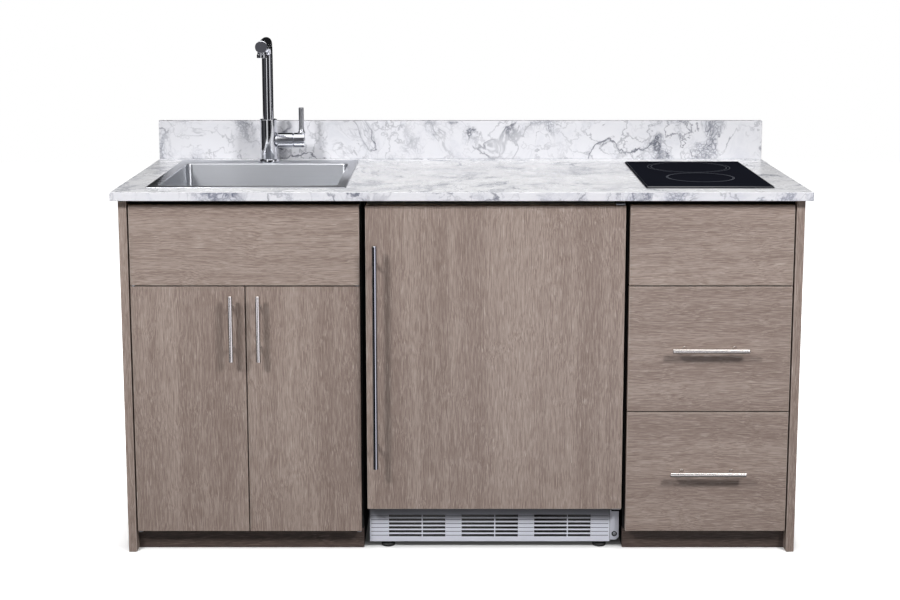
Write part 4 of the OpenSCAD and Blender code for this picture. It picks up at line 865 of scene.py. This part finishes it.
copied("tap_valve_stem", dark_chrome, eased=0)
lever_low, lever_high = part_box("tap_lever")
lever_mid = (lever_low + lever_high) / 2
pivot_z, lever_r = valve_z + 0.006, 0.0065
lever_top = lever_high.z - pivot_z
lever_satin = chrome("tap_lever_satin", paint(186, 187, 192), 0.3)
stands_for(turned_piece("tap_lever_made", lever_satin, [
    (0, -0.0062), (0.0035, -0.0055), (0.0058, -0.003), (0.0062, 0), (0.0062, 0.0112), (0.0098, 0.0122),
    (0.0101, 0.0134), (0.0094, 0.0152), (0.0079, 0.0178), (0.0069, 0.0205), (lever_r, 0.0235),
    (lever_r, lever_top - 0.0008), (lever_r - 0.0008, lever_top), (0, lever_top)],
    (lever_mid.x, lever_mid.y, pivot_z), crease=30), "tap_lever")
copied("tap_shank_nut", brass, eased=0.0004)
copper = metal("copper_tail", paint(192, 128, 92), 0.28, (60, 60, 8))
copied("tap_inlet_tails", copper, eased=0.0004)


# ---- Hob ----
# Black ceramic glass with a ground bevel, lying on the worktop, with each zone printed as fine double
# rings. Under it a folded steel pan holds two radiant elements in their rims of pressed fibre.
element_low, element_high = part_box("hob_elements")
hob_low, hob_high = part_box("hob_glass")
element_inset, rear_rings, front_rings = 0.003, (0.103, 0.0945), (0.081, 0.078)
hob_x = (hob_low.x + hob_high.x) / 2
zones = (((hob_x, element_high.y + element_inset - rear_rings[0], 0), rear_rings),
         ((hob_x, element_low.y - element_inset + front_rings[0], 0), front_rings))
hob_black, tree, shader = finish("hob_glass_black", Specular_IOR_Level=0.0, Coat_Roughness=0.03,
                                 Roughness=0.4)
place = add(tree, "TexCoord").outputs["Object"]
ring_share = 0.0
for centre, radii in zones:
    flat = vector_calc(tree, "MULTIPLY", vector_calc(tree, "SUBTRACT", place, centre), (1, 1, 0))
    reach = vector_calc(tree, "LENGTH", flat)
    for radius in radii:
        gap = calc(tree, "ABSOLUTE", calc(tree, "SUBTRACT", reach, radius))
        ring_share = calc(tree, "MAXIMUM", ring_share, between(tree, gap, 0.0003, 0.0009, 1.0, 0.0))
dots = between(tree, noise(tree, place, 1800.0, 1.0), 0.35, 0.6, 0.55, 1.0)
ground = mixed(tree, noise(tree, place, 3.0, 2.0), paint(20, 21, 27), paint(27, 29, 37))
facing = add(tree, "LayerWeight", {"Blend": 0.5}).outputs["Facing"]
printed = mixed(tree, weighed(tree, (ring_share, dots)), ground, paint(112, 114, 122))
feed(tree, shader, Base_Color=printed, Coat_Weight=between(tree, facing, 0.55, 0.78, 1.0, 0.0))
bevel_grey = moulded("hob_bevel", paint(36, 37, 42), spread=0.02, Specular_IOR_Level=0.2)
copied("hob_glass", hob_black, bevel_grey, eased=0.0004)
pan_steel = metal("hob_pan_steel", paint(168, 171, 175), 0.38, (30, 30, 30))
fibre = moulded("element_fibre", paint(196, 188, 172), spread=0.12, grain=500.0, depth=0.0003,
                Roughness=0.9)
copied("hob_pan", pan_steel, eased=0.0003)
copied("hob_elements", fibre, pan_steel, eased=0.0008)


# ---- Fridge case ----
# A foam-filled case of painted steel with a niche for the compressor at the lower back, standing on a
# folded chassis tray. The sides are plain because the cabinets hide them.
case_black = moulded("case_paint", paint(28, 28, 30), spread=0.04, grain=1300.0, Specular_IOR_Level=0.5)
chassis_black = moulded("chassis_paint", paint(20, 20, 21), Roughness=0.8, Specular_IOR_Level=0.15)
copied("fridge_case", case_black, eased=0.0015)
copied("fridge_chassis", chassis_black, eased=0.0003)


# ---- Compressor ----
# A sealed pot of drawn steel in two halves, welded round its waist and painted black, on a square
# plate. Two short copper pipes leave its side and bend upward.
pot_black = moulded("compressor_paint", paint(24, 24, 26), grain=700.0, Specular_IOR_Level=0.55)
copied("compressor", pot_black, eased=0.002, steps=3)
pot_low, pot_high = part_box("compressor")
pot_mid = (pot_low + pot_high) / 2
pot_r = (pot_high.x - pot_low.x) / 2
seam_in, seam_out = pot_r - 0.003, pot_r + 0.0032
goes_with(turned_piece("compressor_seam", pot_black, [
    (seam_in, 0.070), (seam_out, 0.0715), (seam_out, 0.0745), (seam_in, 0.076)],
    (pot_mid.x, pot_mid.y, pot_low.z), sides=64, closed=True), "compressor")
pipe_r, pipe_bend = 0.0032, 0.014
for number, (start_x, start_z, rise) in enumerate(((-0.030, 0.045, 0.03), (-0.052, 0.055, 0.05))):
    begin = Vector((pot_mid.x + start_x, pot_mid.y, pot_low.z + start_z))
    elbow = begin + Vector((-0.02 - abs(start_x) * 0.3, 0, 0))
    route = [begin, elbow]
    for turn in quarter_turn(8)[1:]:
        route.append(elbow + Vector((-pipe_bend * math.sin(turn), 0, pipe_bend * (1 - math.cos(turn)))))
    route.append(route[-1] + Vector((0, 0, rise)))
    bm = bmesh.new()
    swept(bm, route, pipe_r, 20)
    goes_with(shaped(bm, f"compressor_pipe_{number + 1}", copper), "compressor")


# ---- Levelling feet ----
# Black plastic pads on threaded steel screws under the four corners of the chassis, turned by hand or
# with a spanner to level the fridge.
foot_plastic = moulded("foot_plastic", paint(20, 20, 21), spread=0.03, Specular_IOR_Level=0.5)
feet_low, feet_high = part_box("fridge_feet")
foot_r = 0.0165
bm_pads, bm_screws = bmesh.new(), bmesh.new()
for x in (feet_low.x + foot_r, feet_high.x - foot_r):
    for y in (feet_low.y + foot_r, feet_high.y - foot_r):
        turned(bm_pads, [(0, 0), (foot_r - 0.001, 0), (foot_r, 0.001), (foot_r, 0.0052),
                         (foot_r - 0.0012, 0.0066), (0.0095, 0.0082), (0.0088, 0.0105), (0, 0.0105)],
               (x, y, 0), sides=36)
        turned(bm_screws, [(0, 0.0104), (0.0052, 0.0104), (0.0058, 0.011), (0.0058, 0.0132),
                           (0.0050, 0.0139), (0, 0.0139)], (x, y, 0), sides=6)
stands_for(shaped(bm_pads, "fridge_feet_made", foot_plastic, crease=30), "fridge_feet")
goes_with(shaped(bm_screws, "fridge_foot_screws", zinc, crease=20), "fridge_feet")


# ---- Base grille ----
# A moulded plastic front under the fridge door, black behind and silver-grey in front. The front's
# silver is paler than the hinge cover's as painted light, and darkens toward the top as painted shade
# under the door. It has three groups of air slots, each split by a rib, whose black walls also serve
# as painted shade in the slots. Fine grey lines between the groups are painted shade standing for
# grooves. It clips to the chassis.
def block(bm, middle, size):
    """A box about its middle."""
    bmesh.ops.create_cube(bm, size=1, matrix=Matrix.LocRotScale(middle, None, size))


grille_silver = moulded("grille_silver", paint(192, 194, 204), spread=0.03, grain=1600.0,
                        Specular_IOR_Level=0.5, Metallic=0.25)
grille_black_and_slot_shade = moulded("grille_black_and_slot_shade", paint(14, 14, 16), spread=0.03, Roughness=0.7,
                         Specular_IOR_Level=0.2)
# The front's silver is paler than the hinge cover's grille_silver: painted light.
grille_front_painted_light_and_shade = moulded("grille_front_painted_light_and_shade", paint(222, 224, 235), spread=0.03, grain=1600.0,
                       Specular_IOR_Level=0.5, Metallic=0.2)
tree = grille_front_painted_light_and_shade.node_tree
shader = tree.nodes["Principled BSDF"]
silver = shader.inputs["Base Color"].links[0].from_socket
# Painted shade: the front's silver darkens toward its top, where the door's shade falls.
height = add(tree, "SeparateXYZ", {0: own_space(tree)}).outputs[2]
painted_shade_low, painted_shade_high, painted_shade_depth, painted_shade_black = 0.045, 0.097, 0.88, (0.012, 0.012, 0.015, 1)
shade = between(tree, height, painted_shade_low, painted_shade_high, 0.0, painted_shade_depth)
feed(tree, shader, Base_Color=mixed(tree, shade, silver, painted_shade_black))
grille = copied("fridge_grille", grille_front_painted_light_and_shade, grille_black_and_slot_shade, eased=0.0003)
# The back and the slots' walls are black plastic; in the slots this black is also painted shade.
for face in grille.data.polygons:
    face.material_index = 0 if face.normal.y < -0.5 else 1
# Thin grey strips, barely raised, between the slot groups: painted shade standing for grooves.
groove_painted_shade = moulded("grille_groove_painted_shade", paint(96, 98, 106), spread=0.03, Roughness=0.7)
grille_low, grille_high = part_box("fridge_grille")
grille_mid_x = (grille_low.x + grille_high.x) / 2
slot_group_w, slot_group_pitch, slot_count, slot_pitch, slot_z = 0.134, 0.173, 6, 0.0097, 0.029
groove_margin, groove_gap, groove_d, groove_h = 0.002, 0.003, 0.0004, 0.0015
ends = [grille_low.x + groove_margin]
for place in (-1, 0, 1):
    ends += [grille_mid_x + place * slot_group_pitch + side * slot_group_w / 2 for side in (-1, 1)]
ends.append(grille_high.x - groove_margin)
bm = bmesh.new()
for start, end in zip(ends[::2], ends[1::2]):
    for row in range(slot_count):
        block(bm, ((start + end) / 2, grille_low.y, slot_z + row * slot_pitch),
              (end - start - groove_gap, groove_d, groove_h))
goes_with(shaped(bm, "fridge_grille_lines", groove_painted_shade), "fridge_grille")


# ---- Fridge hinges ----
# Black steel brackets with a pin below and above the door, plates with bored bushes on the door, and
# a silver cover with one screw over the lower bracket.
hinge_black = metal("hinge_black", paint(30, 30, 32), 0.45, (200, 200, 200))
copied("fridge_hinges", hinge_black, eased=0.0005)
copied("fridge_door_bushes", zinc, eased=0.0004)
copied("fridge_hinge_cover", grille_silver, eased=0.0005)
cover_low, cover_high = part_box("fridge_hinge_cover")
screw_place = ((cover_low.x + cover_high.x) / 2, cover_low.y, cover_low.z + 0.015)
goes_with(turned_piece("fridge_hinge_cover_ring", hinge_black, [
    (0.0040, -0.0002), (0.0064, -0.0002), (0.0064, 0.0005), (0.0058, 0.0009), (0.0048, 0.0009),
    (0.0040, 0.0003)], screw_place, (0, -1, 0), 32, closed=True), "fridge_hinge_cover")
goes_with(turned_piece("fridge_hinge_cover_screw", zinc, [
    (0, -0.0002), (0.0040, -0.0002), (0.0038, 0.0009), (0.0028, 0.0014), (0.0012, 0.0015),
    (0.0012, 0.0006), (0, 0.0006)], screw_place, (0, -1, 0), 32), "fridge_hinge_cover")


# ---- Fridge inside ----
# A vacuum-formed white liner with shelf ledges and the thermostat's housing, two glass shelves and the
# crisper's glass cover in plastic trims, a clear crisper and a dial with plain numbers.
liner_white = moulded("liner_white", paint(236, 238, 238), spread=0.02, grain=700.0, depth=0.00003,
                      Roughness=0.28, Specular_IOR_Level=0.5)
copied("fridge_liner", liner_white, eased=0.0015)


def clear(name, colour, roughness, index):
    """A see-through material with a faint unevenness in its gloss."""
    material, tree, shader = finish(name, Base_Color=colour, IOR=index, Transmission_Weight=1.0,
                                    Metallic=0.0)
    uneven = noise(tree, own_space(tree), 60.0, 2.0)
    feed(tree, shader, uneven, 0.000004, Roughness=graded(tree, uneven, roughness * 0.6, roughness * 1.4))
    return material


shelf_glass = clear("shelf_glass", (0.88, 0.96, 0.94, 1), 0.02, 1.5)
clear_plastic = clear("clear_plastic", (0.93, 0.96, 0.98, 1), 0.06, 1.49)
copied("fridge_shelves", shelf_glass, eased=0.0006)
shelf_low, shelf_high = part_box("fridge_shelves")
shelf_t, shelf_pitch, shelf_count = 0.004, 0.162, 3
trim_h, trim_d, trim_lap, trim_short = 0.0085, 0.011, 0.001, 0.004
bm = bmesh.new()
for level in range(shelf_count):
    z = shelf_low.z + level * shelf_pitch + shelf_t / 2
    for y in (shelf_low.y + trim_d / 2 - trim_lap, shelf_high.y - trim_d / 2 + trim_lap):
        block(bm, ((shelf_low.x + shelf_high.x) / 2, y, z),
              (shelf_high.x - shelf_low.x - trim_short, trim_d, trim_h))
goes_with(shaped(bm, "fridge_shelf_trims", liner_white, eased=0.002, steps=3), "fridge_shelves")
crisper = copied("fridge_crisper", clear_plastic, eased=0.0009)
crisper_low, crisper_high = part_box("fridge_crisper")
liner_gap = 0.0003
for corner in crisper.data.vertices:
    corner.co.z = max(corner.co.z, crisper_low.z + liner_gap)
bm = bmesh.new()
block(bm, ((crisper_low.x + crisper_high.x) / 2, crisper_low.y - 0.004, crisper_high.z - 0.012),
      (0.21, 0.009, 0.022))
goes_with(shaped(bm, "fridge_crisper_grip", liner_white, eased=0.003, steps=3), "fridge_crisper")

knob_low, knob_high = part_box("thermostat_knob")
knob_mid = (knob_low + knob_high) / 2
knob_r, knob_h, knob_face = (knob_high.z - knob_low.z) / 2, 0.0140, knob_low.x
spindle_r, spindle_l = 0.0029, 0.026
stands_for(turned_piece("thermostat_knob_made", liner_white, [
    (0, -spindle_l), (spindle_r, -spindle_l), (spindle_r, 0.0), (knob_r, 0.0), (knob_r, 0.0052),
    (knob_r - 0.001, 0.0068), (knob_r - 0.003, 0.0074), (knob_r - 0.0036, 0.0125),
    (knob_r - 0.0052, knob_h), (0, knob_h)],
    (knob_face + knob_h, knob_mid.y, knob_mid.z), (-1, 0, 0), 64, 30), "thermostat_knob")
ink_grey = moulded("ink_grey", paint(70, 78, 90), spread=0.02)
bm = bmesh.new()
block(bm, (knob_face - 0.0001, knob_mid.y, knob_mid.z + knob_r * 0.55), (0.0008, 0.0022, knob_r * 0.6))
goes_with(shaped(bm, "thermostat_pointer", ink_grey), "thermostat_knob")
dial_x, dial_r, dial_step = knob_face + 0.0138, 0.0225, 54
for number in range(6):
    angle = math.radians(dial_step * number)
    text = bpy.data.curves.new(f"thermostat_number_{number}", "FONT")
    text.body, text.size, text.extrude = str(number), 0.0075, 0.0001
    text.align_x, text.align_y = "CENTER", "CENTER"
    text.materials.append(ink_grey)
    mark = placed(text.name, text)
    mark.location = (dial_x + 0.0002, knob_mid.y + dial_r * math.sin(angle),
                     knob_mid.z + dial_r * math.cos(angle))
    mark.rotation_euler = (math.pi / 2, 0, -math.pi / 2)
    goes_with(mark, "fridge_liner")


# ---- Fridge door ----
# A foam-filled slab with a white formed inner skin whose two upright ribs hold clear racks, and a grey
# magnetic gasket round its edge that seals against the case.
copied("fridge_door", liner_white, eased=0.003, steps=3)
door_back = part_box("fridge_door")[1].y
gasket_low, gasket_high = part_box("fridge_door_gasket")
gasket_grey = moulded("gasket_rubber", paint(88, 89, 92), spread=0.04, grain=800.0, Roughness=0.6)
gasket_mid = (gasket_low + gasket_high) / 2
gasket_half = (gasket_high - gasket_low) / 2
gasket_w = 0.014
bm = bmesh.new()
profile = ((0.0, 0.0), (0.0, 0.0012), (0.0022, 0.0018), (0.0030, 0.0034), (0.0012, 0.0048),
           (0.0010, 0.0062), (0.0026, 0.0073), (0.0090, 0.0073), (0.0114, 0.0060), (0.0110, 0.0046),
           (0.0092, 0.0034), (0.0110, 0.0018), (gasket_w, 0.0012), (gasket_w, 0.0))
rings = [[bm.verts.new((gasket_mid.x + x, gasket_low.y + depth, gasket_mid.z + z))
          for x, z in rounded(gasket_half.x - inset, gasket_half.z - inset, 0.016 - inset * 0.9)]
         for inset, depth in profile]
loft(bm, rings, closed=True)
stands_for(shaped(bm, "fridge_gasket_made", gasket_grey, crease=40), "fridge_door_gasket")

rack_low, rack_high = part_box("fridge_door_racks")
rack_count, rack_h, rack_pitch, rack_t, rack_corner = 3, 0.060, 0.215, 0.0025, 0.012
rack_mid = (rack_low + rack_high) / 2
rack_half = (rack_high - rack_low) / 2
rib_w, rib_d, rib_gap = 0.013, 0.045, 0.0006
rib_foot, rib_top = rack_low.z - 0.02, rack_high.z + 0.06
bm = bmesh.new()
for side in (-1, 1):
    block(bm, (rack_mid.x + side * (rack_half.x + rib_gap + rib_w / 2), door_back + rib_d / 2 - 0.001,
               (rib_foot + rib_top) / 2), (rib_w, rib_d, rib_top - rib_foot))
goes_with(shaped(bm, "fridge_door_dykes", liner_white, eased=0.005, steps=4), "fridge_door")
rack_profile = ((0.004, 0.0), (0.0, 0.004), (0.0, rack_h), (rack_t, rack_h), (rack_t, 0.0055),
                (0.006, rack_t))
bm = bmesh.new()
for number in range(rack_count):
    z = rack_low.z + number * rack_pitch
    loops = [[bm.verts.new((rack_mid.x + x, rack_mid.y + liner_gap + y, z + height))
              for x, y in rounded(rack_half.x - inset, rack_half.y - liner_gap - inset,
                                  rack_corner - inset * 0.6)] for inset, height in rack_profile]
    loft(bm, loops)
    bm.faces.new(loops[0])
    bm.faces.new(loops[-1])
stands_for(shaped(bm, "fridge_racks_made", clear_plastic, crease=40, eased=0.0004), "fridge_door_racks")
rack_trim = (2 * rack_half.x - 0.03, rack_t + 0.0012, 0.011)
bm = bmesh.new()
for number in range(rack_count):
    z = rack_low.z + number * rack_pitch + rack_h - 0.006
    block(bm, (rack_mid.x, rack_high.y - rack_t / 2, z), rack_trim)
goes_with(shaped(bm, "fridge_rack_trims", liner_white, eased=0.0005), "fridge_door_racks")


# ---- Fridge overlay panel ----
# A board in the doors' oak laminate with upright fibres, screwed to the fridge door from behind so
# that the fridge looks like one more cupboard. Pockets near its right edge, one at the bottom and one
# at the top, take the hinge bushes.
oak_board("fridge_door_panel", 23.7)
